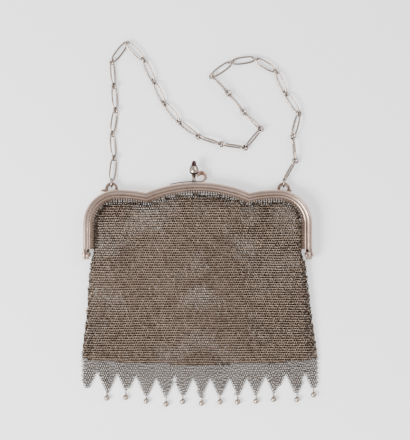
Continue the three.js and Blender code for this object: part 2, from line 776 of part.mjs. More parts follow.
place("frame_front", frontJaw(), frameSilver);
place("frame_back", backJaw(), frameSilver);
place("hinge_pin_left", hingePin(-1), frameSilver);
place("hinge_pin_right", hingePin(1), frameSilver);
place("clasp_knob", claspKnob(), frameSilver);
place("clasp_stone", claspStone(), garnet);
place("clasp_hook", claspHook(), frameSilver);
place("mesh_pouch", meshPouch(), meshSilver);
place("mesh_fringe", meshFringe(), meshSilver);
fringeTips().forEach((tip, i) => {
  const number = String(i + 1).padStart(2, "0");
  if (fringePoints[i].ball) place(`drop_${number}`, ballDrop(tip), dropSilver);
});
place("chain", wholeChain(), chainSilver);

// The origin is the middle of the purse's footprint, on the surface.
const box = new THREE.Box3().setFromObject(purse);
const middle = box.getCenter(new THREE.Vector3());
purse.position.set(-middle.x, -middle.y, -box.min.z);

export default purse;
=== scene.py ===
# %% [markdown]
# # A ring mesh purse with a bow-shaped frame
#
# This lesson dresses a small evening purse that lies on its back on a pale surface. Its bag is a
# cloth of some fourteen thousand silver rings, held in a pressed and hinged frame, with a long chain
# of oval links and a pointed fringe of silver balls. The solids of the frame, the bag and the chain
# already exist. Here each of them gets the fine shape and the finish that the real one shows.

# %% Load the solids
import math

import bmesh
import bpy
import numpy as np
from mathutils import Matrix, Vector


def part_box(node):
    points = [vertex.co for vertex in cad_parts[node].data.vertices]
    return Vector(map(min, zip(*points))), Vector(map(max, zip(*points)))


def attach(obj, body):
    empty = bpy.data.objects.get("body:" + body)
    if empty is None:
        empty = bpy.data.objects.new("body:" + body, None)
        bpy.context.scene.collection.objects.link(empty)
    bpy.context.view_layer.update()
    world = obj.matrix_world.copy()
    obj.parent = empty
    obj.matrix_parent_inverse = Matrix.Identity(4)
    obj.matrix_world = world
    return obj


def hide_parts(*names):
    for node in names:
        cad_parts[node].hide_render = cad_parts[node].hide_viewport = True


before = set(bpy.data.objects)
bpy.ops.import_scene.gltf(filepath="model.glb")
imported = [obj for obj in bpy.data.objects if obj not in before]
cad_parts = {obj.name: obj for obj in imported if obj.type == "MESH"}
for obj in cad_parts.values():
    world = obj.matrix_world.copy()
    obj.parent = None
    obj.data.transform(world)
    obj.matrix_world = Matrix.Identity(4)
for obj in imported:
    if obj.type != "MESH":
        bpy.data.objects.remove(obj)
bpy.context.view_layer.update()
MM = 0.001
print("solids:", len(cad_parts))

# %% [markdown]
# ## Where things are
#
# Every place is measured in millimetres from the middle of the line through the two hinges, because
# that is how the purse was measured. The rivets of the hinges say where that line lies.

# %% Places from the hinge line
left_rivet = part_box("hinge_pin_left")
right_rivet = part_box("hinge_pin_right")
HINGE = Vector((
    (left_rivet[0].x + right_rivet[1].x) / 2,
    (left_rivet[0].y + left_rivet[1].y) / 2,
    0,
))


def at(x, y, z=0.0):
    """A place in metres from millimetres right of, beyond and above the middle of the hinge line."""
    return Vector((HINGE.x + x * MM, HINGE.y + y * MM, z * MM))


def add_object(name, data):
    """A new object with this data, linked to the scene."""
    made = bpy.data.objects.new(name, data)
    bpy.context.scene.collection.objects.link(made)
    return made


print("hinge line at", tuple(round(v, 4) for v in HINGE))

# %% [markdown]
# ## Camera, surface and light
#
# The photograph looks straight down. One of its pixels covers 0.65 mm of the surface, so the lens
# follows from the camera's height. A polished thing shows its surroundings: the sky of this scene is
# dim overhead and bright round the sides, which gives flat silver its grey and round silver its rims.

# %% Camera
PHOTO_SIZE = (410, 440)
PIXEL = 0.65
HINGE_PIXEL = (197.7, 254.5)
CAMERA_HEIGHT = 1.2
SENSOR = 36.0


def add_camera():
    """A camera straight above the middle of the photograph's view."""
    data = bpy.data.cameras.new("camera")
    data.sensor_width = SENSOR
    data.lens = SENSOR * CAMERA_HEIGHT / (PHOTO_SIZE[1] * PIXEL * MM)
    data.clip_start = 0.01
    camera = add_object("camera", data)
    across = (PHOTO_SIZE[0] / 2 - HINGE_PIXEL[0]) * PIXEL
    up = (HINGE_PIXEL[1] - PHOTO_SIZE[1] / 2) * PIXEL
    camera.location = at(across, up, CAMERA_HEIGHT / MM)
    bpy.context.scene.camera = camera
    return camera


camera = add_camera()
print("lens:", round(camera.data.lens, 1), "mm")


# %% A short way to write node trees
class Tree:
    """A node tree written from top to bottom: each call adds one node and links what feeds it."""

    def __init__(self, tree):
        self.tree = tree

    def add(self, kind, feeds=None, **settings):
        """Adds a node. feeds maps an input's name or number to a value or to another node's output."""
        made = self.tree.nodes.new(kind)
        for key, value in settings.items():
            setattr(made, key, value)
        for key, value in (feeds or {}).items():
            if isinstance(value, bpy.types.NodeSocket):
                self.tree.links.new(value, made.inputs[key])
            else:
                made.inputs[key].default_value = value
        return made

    def math(self, operation, *values):
        """The result of a Math node."""
        return self.add("ShaderNodeMath", dict(enumerate(values)), operation=operation).outputs[0]

    def vector(self, operation, *values):
        """The result of a Vector Math node."""
        feeds = dict(enumerate(values))
        if operation == "SCALE":
            feeds = {0: values[0], "Scale": values[1]}
        made = self.add("ShaderNodeVectorMath", feeds, operation=operation)
        return made.outputs["Value" if operation in ("DOT_PRODUCT", "LENGTH") else "Vector"]

    def times(self, a, b):
        """The product of two numbers."""
        return self.math("MULTIPLY", a, b)

    def plus(self, a, b):
        """The sum of two numbers."""
        return self.math("ADD", a, b)

    def between(self, value, low, high):
        """How far a value has come from low to high, held between 0 and 1."""
        return self.add("ShaderNodeMapRange", {0: value, 1: low, 2: high, 3: 0.0, 4: 1.0}).outputs[0]

    def blend(self, share, first, second):
        """A colour between two others."""
        return self.add("ShaderNodeMix", {0: share, 6: first, 7: second}, data_type="RGBA").outputs[2]

    def named(self, name, kind="FLOAT"):
        """Reads an attribute of the mesh."""
        return self.add("GeometryNodeInputNamedAttribute", {"Name": name}, data_type=kind).outputs[0]

    def store(self, geometry, name, value, kind="FLOAT", domain="POINT"):
        """Stores an attribute on the mesh or on its copies."""
        feeds = {"Geometry": geometry, "Name": name, "Value": value}
        return self.add("GeometryNodeStoreNamedAttribute", feeds, data_type=kind, domain=domain).outputs[0]

    def random(self, low, high, seed):
        """A random number for each point or copy, the same in every run."""
        feeds = {2: low, 3: high, "Seed": seed}
        return self.add("FunctionNodeRandomValue", feeds, data_type="FLOAT").outputs[1]

    def socket(self, name, kind, value=None, out=False):
        """Adds an input or output to the tree itself."""
        made = self.tree.interface.new_socket(
            name, in_out="OUTPUT" if out else "INPUT", socket_type="NodeSocket" + kind
        )
        if value is not None:
            made.default_value = value
        return made


def new_material(name):
    """An empty material with its tree."""
    material = bpy.data.materials.new(name)
    material.use_nodes = True
    material.node_tree.nodes.clear()
    return material, Tree(material.node_tree)


# %% Surface and light
def add_floor():
    """A large pale sheet of card with a painted pool of light, lighter towards the near left as in the
    photograph, and a painted glow.
    """
    corners = [(x * CARD_HALF, y * CARD_HALF, 0) for x, y in ((-1, -1), (1, -1), (1, 1), (-1, 1))]
    mesh = bpy.data.meshes.new("floor")
    mesh.from_pydata(corners, [], [(0, 1, 2, 3)])
    floor = add_object("floor", mesh)
    material, t = new_material("pale_card")
    place = t.add("ShaderNodeTexCoord").outputs["Object"]
    split = t.add("ShaderNodeSeparateXYZ", {0: place})
    slope = t.plus(t.times(split.outputs["X"], CARD_SLANT), split.outputs["Y"])
    share = t.between(slope, CARD_NEAR_AT, CARD_FAR_AT)
    tint = t.blend(share, CARD_NEAR, CARD_FAR)
    # painted light: the card glows in its own colour, which is painted lighter towards the near left
    surface = t.add("ShaderNodeBsdfPrincipled", {
        "Base Color": tint, "Roughness": 0.9, "Specular IOR Level": 0.1,
        "Emission Color": tint, "Emission Strength": CARD_PAINTED_GLOW,
    })
    t.add("ShaderNodeOutputMaterial", {0: surface.outputs[0]})
    floor.data.materials.append(material)


def add_sky():
    """Surroundings that are dim straight above and bright all round."""
    world = bpy.data.worlds.new("studio")
    bpy.context.scene.world = world
    world.use_nodes = True
    t = Tree(world.node_tree)
    world.node_tree.nodes.clear()
    direction = t.add("ShaderNodeTexCoord").outputs["Generated"]
    height = t.add("ShaderNodeSeparateXYZ", {0: direction}).outputs["Z"]
    ramp = t.add("ShaderNodeValToRGB", {0: height})
    ramp.color_ramp.elements[0].position = 0.0
    ramp.color_ramp.elements[0].color = SKY_SIDE
    ramp.color_ramp.elements[1].position = SKY_TOP_AT
    ramp.color_ramp.elements[1].color = SKY_TOP
    middle = ramp.color_ramp.elements.new(SKY_MIDDLE_AT)
    middle.color = SKY_MIDDLE
    light = t.add("ShaderNodeBackground", {"Color": ramp.outputs[0], "Strength": SKY_STRENGTH})
    t.add("ShaderNodeOutputWorld", {0: light.outputs[0]})


def add_softbox(name, place, size, power):
    """A square soft light that looks at the middle of the surface."""
    data = bpy.data.lights.new(name, "AREA")
    data.size = size
    data.energy = power
    lamp = add_object(name, data)
    lamp.location = place
    lamp.rotation_euler = (-Vector(place)).to_track_quat("-Z", "Y").to_euler()


CARD_HALF = 3.0
# the card's colours paint a pool of light towards the near left, and its glow is painted light
CARD_SLANT = 0.55
CARD_NEAR_AT = -0.16
CARD_FAR_AT = 0.2
CARD_NEAR = (0.93, 0.93, 0.93, 1)
CARD_FAR = (0.80, 0.80, 0.81, 1)
CARD_PAINTED_GLOW = 0.79
SKY_SIDE = (1.0, 1.0, 1.0, 1)
SKY_MIDDLE = (0.62, 0.61, 0.61, 1)
SKY_TOP = (0.20, 0.19, 0.185, 1)
SKY_MIDDLE_AT = 0.62
SKY_TOP_AT = 0.96
SKY_STRENGTH = 1.5
SOFTBOXES = (
    # name, place, side of the square, watts
    ("key", (-1.0, -0.55, 1.1), 0.7, 46),
    ("fill", (1.0, 0.7, 1.2), 0.8, 12),
)
add_floor()
add_sky()
for softbox in SOFTBOXES:
    add_softbox(*softbox)

# %% [markdown]
# ## Old silver
#
# The purse is all silver, yet no two of its parts look alike. The frame is satin and dark in its
# grooves, the mesh is dull because its rings are too fine to rub, and the chain and balls are bright
# where they rub on a hand. One group of nodes makes the tarnish and the painted shade for all of them:
# it darkens what an attribute marks, which is tarnish in hollows such as the frame's grooves and
# painted shade deep in the mesh and under the purse, paints shade on steep sides, and clouds the rest
# with soft patches.

# %% Tarnish group
def tarnish_group():
    """Colour and roughness of worn silver, from its clean colour, its tarnish, a mask of tarnish and painted
    shade, and painted shade on steep sides.
    """
    group = bpy.data.node_groups.new("tarnish", "ShaderNodeTree")
    t = Tree(group)
    t.socket("Silver", "Color")
    t.socket("Tarnish", "Color")
    t.socket("Patches", "Float", 0.4)
    t.socket("Patch scale", "Float", 120.0)
    t.socket("Tarnish and shade", "Float", 0.0)
    t.socket("Smooth", "Float", 0.25)
    t.socket("Dull", "Float", 0.5)
    t.socket("Steep shade", "Float", 0.0)
    t.socket("Color", "Color", out=True)
    t.socket("Roughness", "Float", out=True)
    given = t.add("NodeGroupInput").outputs
    place = t.add("ShaderNodeTexCoord").outputs["Object"]
    broad = t.add("ShaderNodeTexNoise", {
        "Vector": place, "Scale": given["Patch scale"], "Detail": 4.0, "Roughness": 0.6,
    }).outputs["Fac"]
    fine = t.add("ShaderNodeTexNoise", {
        "Vector": place, "Scale": t.times(given["Patch scale"], 9.0), "Detail": 2.0,
    }).outputs["Fac"]
    mixed = t.plus(t.times(broad, 0.7), t.times(fine, 0.3))
    cloud = t.between(mixed, 0.36, 0.66)
    # painted shade: steep sides are painted darker, the more so the steeper they are
    normal = t.add("ShaderNodeSeparateXYZ", {0: t.add("ShaderNodeNewGeometry").outputs["Normal"]}).outputs
    upright = t.math("ABSOLUTE", normal["Z"])
    steep = t.between(upright, 0.9, 0.35)
    dark = t.plus(given["Tarnish and shade"], t.times(cloud, given["Patches"]))
    dark = t.math("MINIMUM", 1.0, t.plus(dark, t.times(steep, given["Steep shade"])))
    tint = t.blend(dark, given["Silver"], given["Tarnish"])
    rough = t.add("ShaderNodeMix", {0: dark, 2: given["Smooth"], 3: given["Dull"]}, data_type="FLOAT")
    t.add("NodeGroupOutput", {"Color": tint, "Roughness": rough.outputs[0]})
    return group


TARNISH = tarnish_group()


def silver(name, clean, tarnish, patches, patch_scale, smooth, dull, tone_spread=0.0, dent=0.0, steep_shade=0.0):
    """A silver material. tone_spread varies it from ring to ring, dent adds fine hammer and rub marks,
    and the last argument darkens steep sides with painted shade and with tarnish that a hand doesn't rub."""
    material, t = new_material(name)
    tarnish_and_shade = t.add("ShaderNodeAttribute", attribute_name="tarnish_and_shade").outputs["Fac"]
    if tone_spread:
        tone = t.add("ShaderNodeAttribute", attribute_name="tone").outputs["Fac"]
        tarnish_and_shade = t.plus(tarnish_and_shade, t.times(tone, tone_spread))
    worn = t.add("ShaderNodeGroup", node_tree=TARNISH)
    for key, value in (
        ("Silver", clean), ("Tarnish", tarnish), ("Patches", patches), ("Patch scale", patch_scale),
        ("Smooth", smooth), ("Dull", dull), ("Steep shade", steep_shade),
    ):
        worn.inputs[key].default_value = value
    t.tree.links.new(tarnish_and_shade, worn.inputs["Tarnish and shade"])
    surface = t.add("ShaderNodeBsdfPrincipled", {
        "Base Color": worn.outputs["Color"], "Roughness": worn.outputs["Roughness"], "Metallic": 1.0,
    })
    if dent:
        place = t.add("ShaderNodeTexCoord").outputs["Object"]
        marks = t.add("ShaderNodeTexNoise", {"Vector": place, "Scale": 900.0, "Detail": 3.0}).outputs["Fac"]
        bump = t.add("ShaderNodeBump", {"Height": marks, "Strength": dent, "Distance": 0.0001})
        t.tree.links.new(bump.outputs["Normal"], surface.inputs["Normal"])
    t.add("ShaderNodeOutputMaterial", {0: surface.outputs[0]})
    return material


# painted shade: the steep sides of the chain, the clasp's ball and the drops are painted dark, those of the
# frame a little
FRAME_SILVER = silver(
    "frame_silver", (0.64, 0.475, 0.395, 1), (0.13, 0.085, 0.062, 1), 0.45, 90.0, 0.26, 0.5,
    dent=0.3, steep_shade=0.2,
)
MESH_SILVER = silver(
    "mesh_silver", (0.385, 0.295, 0.23, 1), (0.06, 0.043, 0.032, 1), 0.2, 40.0, 0.44, 0.62, tone_spread=0.35
)
CHAIN_SILVER = silver(
    "chain_silver", (0.60, 0.48, 0.41, 1), (0.035, 0.022, 0.016, 1), 0.35, 160.0, 0.24, 0.5,
    dent=0.2, steep_shade=0.95,
)
DROP_SILVER = silver(
    "drop_silver", (0.62, 0.50, 0.41, 1), (0.06, 0.04, 0.028, 1), 0.3, 250.0, 0.22, 0.45,
    dent=0.15, steep_shade=0.9,
)


def garnet():
    """Polished dark red stone: nearly black, with a red glow where light passes."""
    material, t = new_material("garnet")
    surface = t.add("ShaderNodeBsdfPrincipled", {
        "Roughness": 0.12, "IOR": 1.6, "Specular IOR Level": 0.35,
    })
    place = t.add("ShaderNodeTexCoord").outputs["Object"]
    cloud = t.add("ShaderNodeTexNoise", {"Vector": place, "Scale": 600.0, "Detail": 2.0}).outputs["Fac"]
    tint = t.blend(cloud, (0.012, 0.002, 0.002, 1), (0.05, 0.006, 0.005, 1))
    t.tree.links.new(tint, surface.inputs["Base Color"])
    t.add("ShaderNodeOutputMaterial", {0: surface.outputs[0]})
    return material


GARNET = garnet()
print("materials:", len(bpy.data.materials))

# %% [markdown]
# ## The frame's edge
#
# The frame is a bow of arcs: a straight arm, a round corner, a nearly flat shoulder that dips to a
# cusp, and a middle arch. Both jaws, their pierced edges, the rings hooked into those and the bag's
# mouth all follow this one line, so it is worked out once. At a cusp the outward direction is
# lengthened, as in a mitred picture frame, so that every parallel line keeps its distance.

# %% Frame outline
HALF_WIDTH = 74.0
ARM = 20.0
CORNER = 22.0
CUSP_X = 33.5
CUSP_DROP = 1.9
ARCH_RISE = 6.7
THICKNESS = 9.6
BAND = 6.9
CLEAR = 0.3
EAR_RADIUS = 3.3
ARM_FOOT = EAR_RADIUS + CLEAR
SHOULDER_TOP = ARM + CORNER
CORNER_X = HALF_WIDTH - CORNER
ARCH_TOP = SHOULDER_TOP - CUSP_DROP + ARCH_RISE
MIDDLE = THICKNESS / 2


def frame_edge(corner_steps=14, shoulder_steps=8, arch_steps=14, foot=ARM_FOOT):
    """Rows of x, y and the outward direction along the outer edge, from the left hinge to the right."""
    run = CORNER_X - CUSP_X
    shoulder_radius = (run**2 + CUSP_DROP**2) / (2 * CUSP_DROP)
    arch_radius = (CUSP_X**2 + ARCH_RISE**2) / (2 * ARCH_RISE)
    arch_angle = math.asin(CUSP_X / arch_radius)
    shoulder_angle = math.asin(run / shoulder_radius)
    right = []

    def arc(x, y, radius, start, end, steps, first):
        for i in range(first, steps + 1):
            angle = start + (end - start) * i / steps
            out = (math.sin(angle), math.cos(angle))
            right.append([x + radius * out[0], y + radius * out[1], *out])

    arc(0, ARCH_TOP - arch_radius, arch_radius, 0, arch_angle, arch_steps, 0)
    out_a = np.array(right[-1][2:])
    out_b = np.array([-math.sin(shoulder_angle), math.cos(shoulder_angle)])
    right[-1][2:] = (out_a + out_b) / (1 + out_a @ out_b)
    arc(CORNER_X, SHOULDER_TOP - shoulder_radius, shoulder_radius, -shoulder_angle, 0, shoulder_steps, 1)
    arc(CORNER_X, ARM, CORNER, 0, math.pi / 2, corner_steps, 1)
    for i in range(1, 5):
        right.append([HALF_WIDTH, ARM + (foot - ARM) * i / 4, 1.0, 0.0])
    left = [[-x, y, -out_x, out_y] for x, y, out_x, out_y in right[:0:-1]]
    return np.array(left + right)


def inward(edge, distance):
    """The line that runs inside the frame's edge at a distance from it."""
    return edge[:, :2] - edge[:, 2:] * distance


EDGE = frame_edge()
print("frame edge:", len(EDGE), "points,", round(float(EDGE[:, 0].max() * 2), 1), "mm wide")


# %% Helpers for meshes
def new_object(name, points, faces, merge=True):
    """A mesh object from points in metres, with its faces turned outwards and shaded smooth."""
    mesh = bpy.data.meshes.new(name)
    mesh.from_pydata([tuple(p) for p in points], [], faces)
    made = add_object(name, mesh)
    tidy_faces(made, merge)
    return made


def tidy_faces(made, merge=True):
    """Merges doubles where asked, turns faces outwards and shades them smooth."""
    bm = bmesh.new()
    bm.from_mesh(made.data)
    if merge:
        bmesh.ops.remove_doubles(bm, verts=bm.verts, dist=1e-6)
    bmesh.ops.recalc_face_normals(bm, faces=bm.faces)
    bm.to_mesh(made.data)
    bm.free()
    made.data.shade_smooth()


def skin(rings):
    """Faces between rows of points that each form a closed ring."""
    count = len(rings[0])
    faces = []
    for start in range(0, (len(rings) - 1) * count, count):
        for k in range(count):
            turn = (k + 1) % count
            faces.append((start + k, start + turn, start + count + turn, start + count + k))
    return faces


def bar(name, rings):
    """A solid with these rings of points along it and both its ends closed."""
    count = len(rings[0])
    last = (len(rings) - 1) * count
    faces = skin(rings) + [tuple(range(count)), tuple(range(last, last + count))]
    return new_object(name, [p for ring in rings for p in ring], faces)


def reach_along(line):
    """How far along a line each of its points lies."""
    steps = np.linalg.norm(np.diff(line, axis=0), axis=1)
    return np.concatenate([[0], np.cumsum(steps)])


def at_marks(marks, reach, line):
    """The places on a line at given distances along it."""
    return np.stack([np.interp(marks, reach, line[:, k]) for k in range(2)], axis=-1)


def soften(made, width):
    """Rounds sharp edges over a width in millimetres."""
    soft = made.modifiers.new("soft", "BEVEL")
    soft.width = width * MM
    soft.segments = 2
    soft.limit_method = "ANGLE"
    settle(made)


def settle(made):
    """Turns what the modifiers give into a plain mesh and removes them."""
    ready = made.evaluated_get(bpy.context.evaluated_depsgraph_get())
    mesh = bpy.data.meshes.new_from_object(ready)
    made.modifiers.clear()
    made.data = mesh
    return made


def join(name, *parts):
    """One object from several, named name."""
    bpy.ops.object.select_all(action="DESELECT")
    for part in parts:
        part.select_set(True)
    bpy.context.view_layer.objects.active = parts[0]
    bpy.ops.object.join()
    parts[0].name = name
    parts[0].data.name = name
    return parts[0]


def mark(made, name, values):
    """Stores one number for each point of a mesh."""
    layer = made.data.attributes.new(name, "FLOAT", "POINT")
    layer.data.foreach_set("value", np.asarray(values, np.float32))


def crisp(made, angle=35):
    """Keeps edges sharper than an angle crisp under smooth shading."""
    made.data.set_sharp_from_angle(angle=math.radians(angle))


def hand_over(made, material, slot, *nodes):
    """Gives a piece its finish and puts it in the place of its solids."""
    made.data.materials.clear()
    made.data.materials.append(material)
    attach(made, "root")
    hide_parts(*nodes)
    made.data.calc_loop_triangles()
    print(made.name, "has", len(made.data.loop_triangles), "triangles")


# %% [markdown]
# ## The jaws
#
# Each jaw was pressed from sheet silver: a round bead outside, a narrow groove, a thin ridge, and a
# low flange pierced all along for the mesh. A press gives the same section everywhere, so the jaw is
# one section carried along the frame's edge. The groove keeps the tarnish that polishing cannot
# reach, and is marked for the tarnish group.

# %% Jaw section
BEAD = 3.3
GROOVE = 0.6
RIDGE = 1.0
GROOVE_DEPTH = 0.8
RIDGE_DROP = 0.2
FLANGE_START = BEAD + GROOVE + RIDGE
FLANGE_DROP = 0.9
PLATE = 0.8
LIP = 1.1


def jaw_section():
    """Rows of distance inward, height above the parting line and darkening, round the section."""
    rows = [(0, CLEAR / 2, 0.5), (0, 1.6, 0.1), (0, MIDDLE - BEAD / 2, 0)]
    for i in range(1, 9):
        angle = math.pi - math.pi * i / 10
        bead = BEAD / 2
        rows.append((bead + bead * math.cos(angle), MIDDLE - bead + bead * math.sin(angle), 0))
    floor = MIDDLE - GROOVE_DEPTH
    rows += [(BEAD - 0.02, floor + 0.2, 0.2)]
    rows += [(BEAD + 0.15, floor, 0.45), (BEAD + GROOVE - 0.15, floor, 0.45)]
    ridge_middle = BEAD + GROOVE + RIDGE / 2
    for i in range(1, 6):
        angle = math.pi - math.pi * i / 6
        rows.append((
            ridge_middle + RIDGE / 2 * math.cos(angle),
            floor + (GROOVE_DEPTH - RIDGE_DROP) * math.sin(angle),
            0,
        ))
    flange = MIDDLE - FLANGE_DROP
    rows += [(FLANGE_START, flange, 0.5), (FLANGE_START + 0.1, flange - PLATE, 0.6)]
    rows += [(LIP, flange - PLATE, 0.6), (LIP, CLEAR / 2, 0.5)]
    return rows


def jaw_band(name, side):
    """The pressed band of one jaw. side is 1 in front and -1 behind."""
    rows = jaw_section()
    rings = []
    for x, y, out_x, out_y in EDGE:
        rings.append([
            at(x - out_x * inset, y - out_y * inset, MIDDLE + side * height) for inset, height, _ in rows
        ])
    band = bar(name, rings)
    mark(band, "tarnish_and_shade", [row[2] for row in rows] * len(rings))
    return band


WAY_STEP = 0.3


def even_line(line, pitch):
    """Points at an even pitch along a line, each with the direction that it runs in."""
    reach = reach_along(line)
    count = max(2, int(round(reach[-1] / pitch)))
    marks = (np.arange(count) + 0.5) * reach[-1] / count
    way = at_marks(marks + WAY_STEP, reach, line) - at_marks(marks - WAY_STEP, reach, line)
    return at_marks(marks, reach, line), way / np.linalg.norm(way, axis=1)[:, None]


HOLE_PITCH = 1.6
HOLE = 0.42
HOLE_INSET = BAND - 0.85


def pierced_flange(name, side):
    """The flange along the inside of a jaw, with an eight-sided hole for each ring that hooks in."""
    inner = inward(EDGE, BAND)
    outer = inward(EDGE, FLANGE_START)
    reach = reach_along(inward(EDGE, HOLE_INSET))
    count = int(round(reach[-1] / HOLE_PITCH))
    height = MIDDLE + side * (MIDDLE - FLANGE_DROP)
    corners = [(-1, -1), (0, -1), (1, -1), (1, 0), (1, 1), (0, 1), (-1, 1), (-1, 0)]
    depth_middle = (HOLE_INSET - FLANGE_START) / (BAND - FLANGE_START)
    points, faces = [], []
    for cell in range(count):
        start = len(points)
        for on_border in (True, False):
            for u, w in corners:
                if on_border:
                    along = (cell + 0.5 + u / 2) / count
                    depth = (w + 1) / 2 if w else depth_middle
                else:
                    angle = math.atan2(w, u)
                    along = (cell + 0.5 + HOLE * math.cos(angle) / HOLE_PITCH) / count
                    depth = depth_middle + HOLE * math.sin(angle) / (BAND - FLANGE_START)
                start_at = at_marks(along * reach[-1], reach, outer)
                end_at = at_marks(along * reach[-1], reach, inner)
                points.append(at(*(start_at + (end_at - start_at) * depth), height))
        for k in range(8):
            turn = (k + 1) % 8
            faces.append((start + k, start + turn, start + 8 + turn, start + 8 + k))
    flange = new_object(name, points, faces)
    wall = flange.modifiers.new("wall", "SOLIDIFY")
    wall.thickness = PLATE * 0.8 * MM
    facing = flange.data.polygons[0].normal.z
    wall.offset = -1 if facing * side > 0 else 1
    settle(flange)
    tidy_faces(flange)
    # the front flange is darkened, and the back one, under the purse, is painted fully dark as painted shade
    mark(flange, "tarnish_and_shade", np.full(len(flange.data.vertices), 0.55 if side > 0 else 1.0))
    return flange


# %% Hinge ears, rivets and lugs
EAR = 1.8
RIVET = 0.9
RIVET_HEAD = 1.6
RIVET_HEAD_HEIGHT = 0.8
LUG_X = 55.8
LUG_WIDTH = 8.4
LUG_HEIGHT = 4.9
LUG_STRIP = 2.0
LUG_DEPTH = 2.0
LUG_MIDDLE = 3.2


def slab(name, outline, low, high, place, bevel):
    """A plate from a flat outline: place turns its two flat numbers and its height into a point."""
    count = len(outline)
    points = [place(a, b, low) for a, b in outline] + [place(a, b, high) for a, b in outline]
    faces = [tuple(range(count)), tuple(range(count, 2 * count))]
    faces += [(k, (k + 1) % count, count + (k + 1) % count, count + k) for k in range(count)]
    made = new_object(name, points, faces)
    soften(made, bevel)
    return made


def hinge_ear(side, hand):
    """A jaw's ear at one hinge: a disc on the rivet with a neck up into the arm."""
    outside = HALF_WIDTH if side > 0 else HALF_WIDTH - EAR - CLEAR
    neck_end = ARM_FOOT + 2.0
    neck_out = MIDDLE - FLANGE_DROP - PLATE / 2
    outline = [(neck_end, CLEAR / 2), (neck_end, neck_out)]
    for i in range(0, 19):
        angle = math.pi / 2 + math.pi * 1.5 * i / 18
        outline.append((EAR_RADIUS * math.cos(angle), EAR_RADIUS * math.sin(angle)))
    return slab(
        "ear", outline, outside - EAR, outside,
        lambda y, z, x: at(hand * x, y, MIDDLE + side * z), 0.25,
    )


def lug(hand, leaf):
    """An arch of strip soldered on the shoulder. Its outer foot runs out in a leaf of the length given."""
    outer = LUG_WIDTH / 2
    inner = outer - LUG_STRIP
    arc_y = SHOULDER_TOP + LUG_HEIGHT - outer
    foot = SHOULDER_TOP - 1.7
    turns = [math.pi * i / 16 for i in range(17)]
    outline = [(outer + leaf, foot + 0.7), (outer + leaf * 0.8, foot + 1.7), (outer, foot + 2.2)]
    outline += [(outer * math.cos(a), arc_y + outer * math.sin(a)) for a in turns]
    outline += [(-outer, foot + 2.0), (-outer - 0.8, foot + 1.5), (-outer - 1.1, foot + 0.7)]
    outline += [(-inner, foot)]
    outline += [(-inner * math.cos(a), arc_y + inner * math.sin(a)) for a in turns]
    outline += [(inner, foot)]
    low = LUG_MIDDLE - LUG_DEPTH / 2
    made = slab(
        "lug", outline, low, low + LUG_DEPTH, lambda x, y, z: at(hand * (LUG_X + x), y, z), 0.4
    )
    mark(made, "tarnish_and_shade", np.full(len(made.data.vertices), 0.5))
    return made


def jaw(name, side, node):
    """A whole jaw: band, pierced flange, two ears, and the two lugs on the back one."""
    parts = [jaw_band(name, side), pierced_flange(name + "_flange", side)]
    parts += [hinge_ear(side, -1), hinge_ear(side, 1)]
    if side < 0:
        parts += [lug(-1, 3.0), lug(1, 1.1)]
    whole = join(name, *parts)
    crisp(whole)
    hand_over(whole, FRAME_SILVER, "frame_silver", node)


jaw("jaw_front", 1, "frame_front")
jaw("jaw_back", -1, "frame_back")


# %% Turned pieces
TURNED_TIP = 0.02


def turned(name, profile, sides, place):
    """A closed turned solid. profile has rows of radius and distance along, place makes the points."""
    angles = [2 * math.pi * k / sides for k in range(sides)]
    return bar(name, [
        [place(radius * math.cos(angle), radius * math.sin(angle), along) for angle in angles]
        for radius, along in profile
    ])


def dome(radius, height, steps=6):
    """Rows of a profile that closes a round end with a dome."""
    angles = [math.pi / 2 * i / steps for i in range(steps + 1)]
    return [(max(TURNED_TIP, radius * math.cos(angle)), height * math.sin(angle)) for angle in angles]


def rivet(name, hand, node):
    """A hinge's rivet with a domed head outside and a flat one inside."""
    shank = 2 * EAR + 3 * CLEAR
    inside = HALF_WIDTH + CLEAR - shank
    head = dome(RIVET_HEAD, RIVET_HEAD_HEIGHT)
    profile = [(TURNED_TIP, inside - 0.6), (1.3, inside - 0.6), (1.5, inside - 0.4)]
    profile += [(1.5, inside), (RIVET, inside), (RIVET, inside + shank)]
    profile += [(radius, inside + shank + along) for radius, along in head]
    made = turned(name, profile, 24, lambda a, b, x: at(hand * x, a, MIDDLE + b))
    crisp(made)
    hand_over(made, FRAME_SILVER, "frame_silver", node)


rivet("rivet_left", -1, "hinge_pin_left")
rivet("rivet_right", 1, "hinge_pin_right")

# %% [markdown]
# ## The clasp
#
# A pear-shaped ball on a stem stands on the front jaw with a dark red stone at its tip. Beside it a
# strip of spring silver lies along the arch and curls up in a small scroll. The ball is turned, so
# its shape is a profile. The spring is a strip carried along an arc and a spiral.

# %% Clasp
KNOB_X = -2.4
KNOB = 3.0
KNOB_STEM = 4.6
KNOB_STEM_RADIUS = 1.1
KNOB_HEIGHT = MIDDLE + 1.8
STONE_RADIUS = 1.65
STONE_HEIGHT = 3.4
SETTING = 0.3
SETTING_DEPTH = 0.5
PEAR = (
    # radius and distance from the ball's middle, as shares of its radius
    (0.45, -0.97), (0.62, -0.88), (0.80, -0.73), (0.93, -0.52), (1.0, -0.2), (1.0, 0.05),
    (0.95, 0.3), (0.88, 0.55), (0.79, 0.78),
)


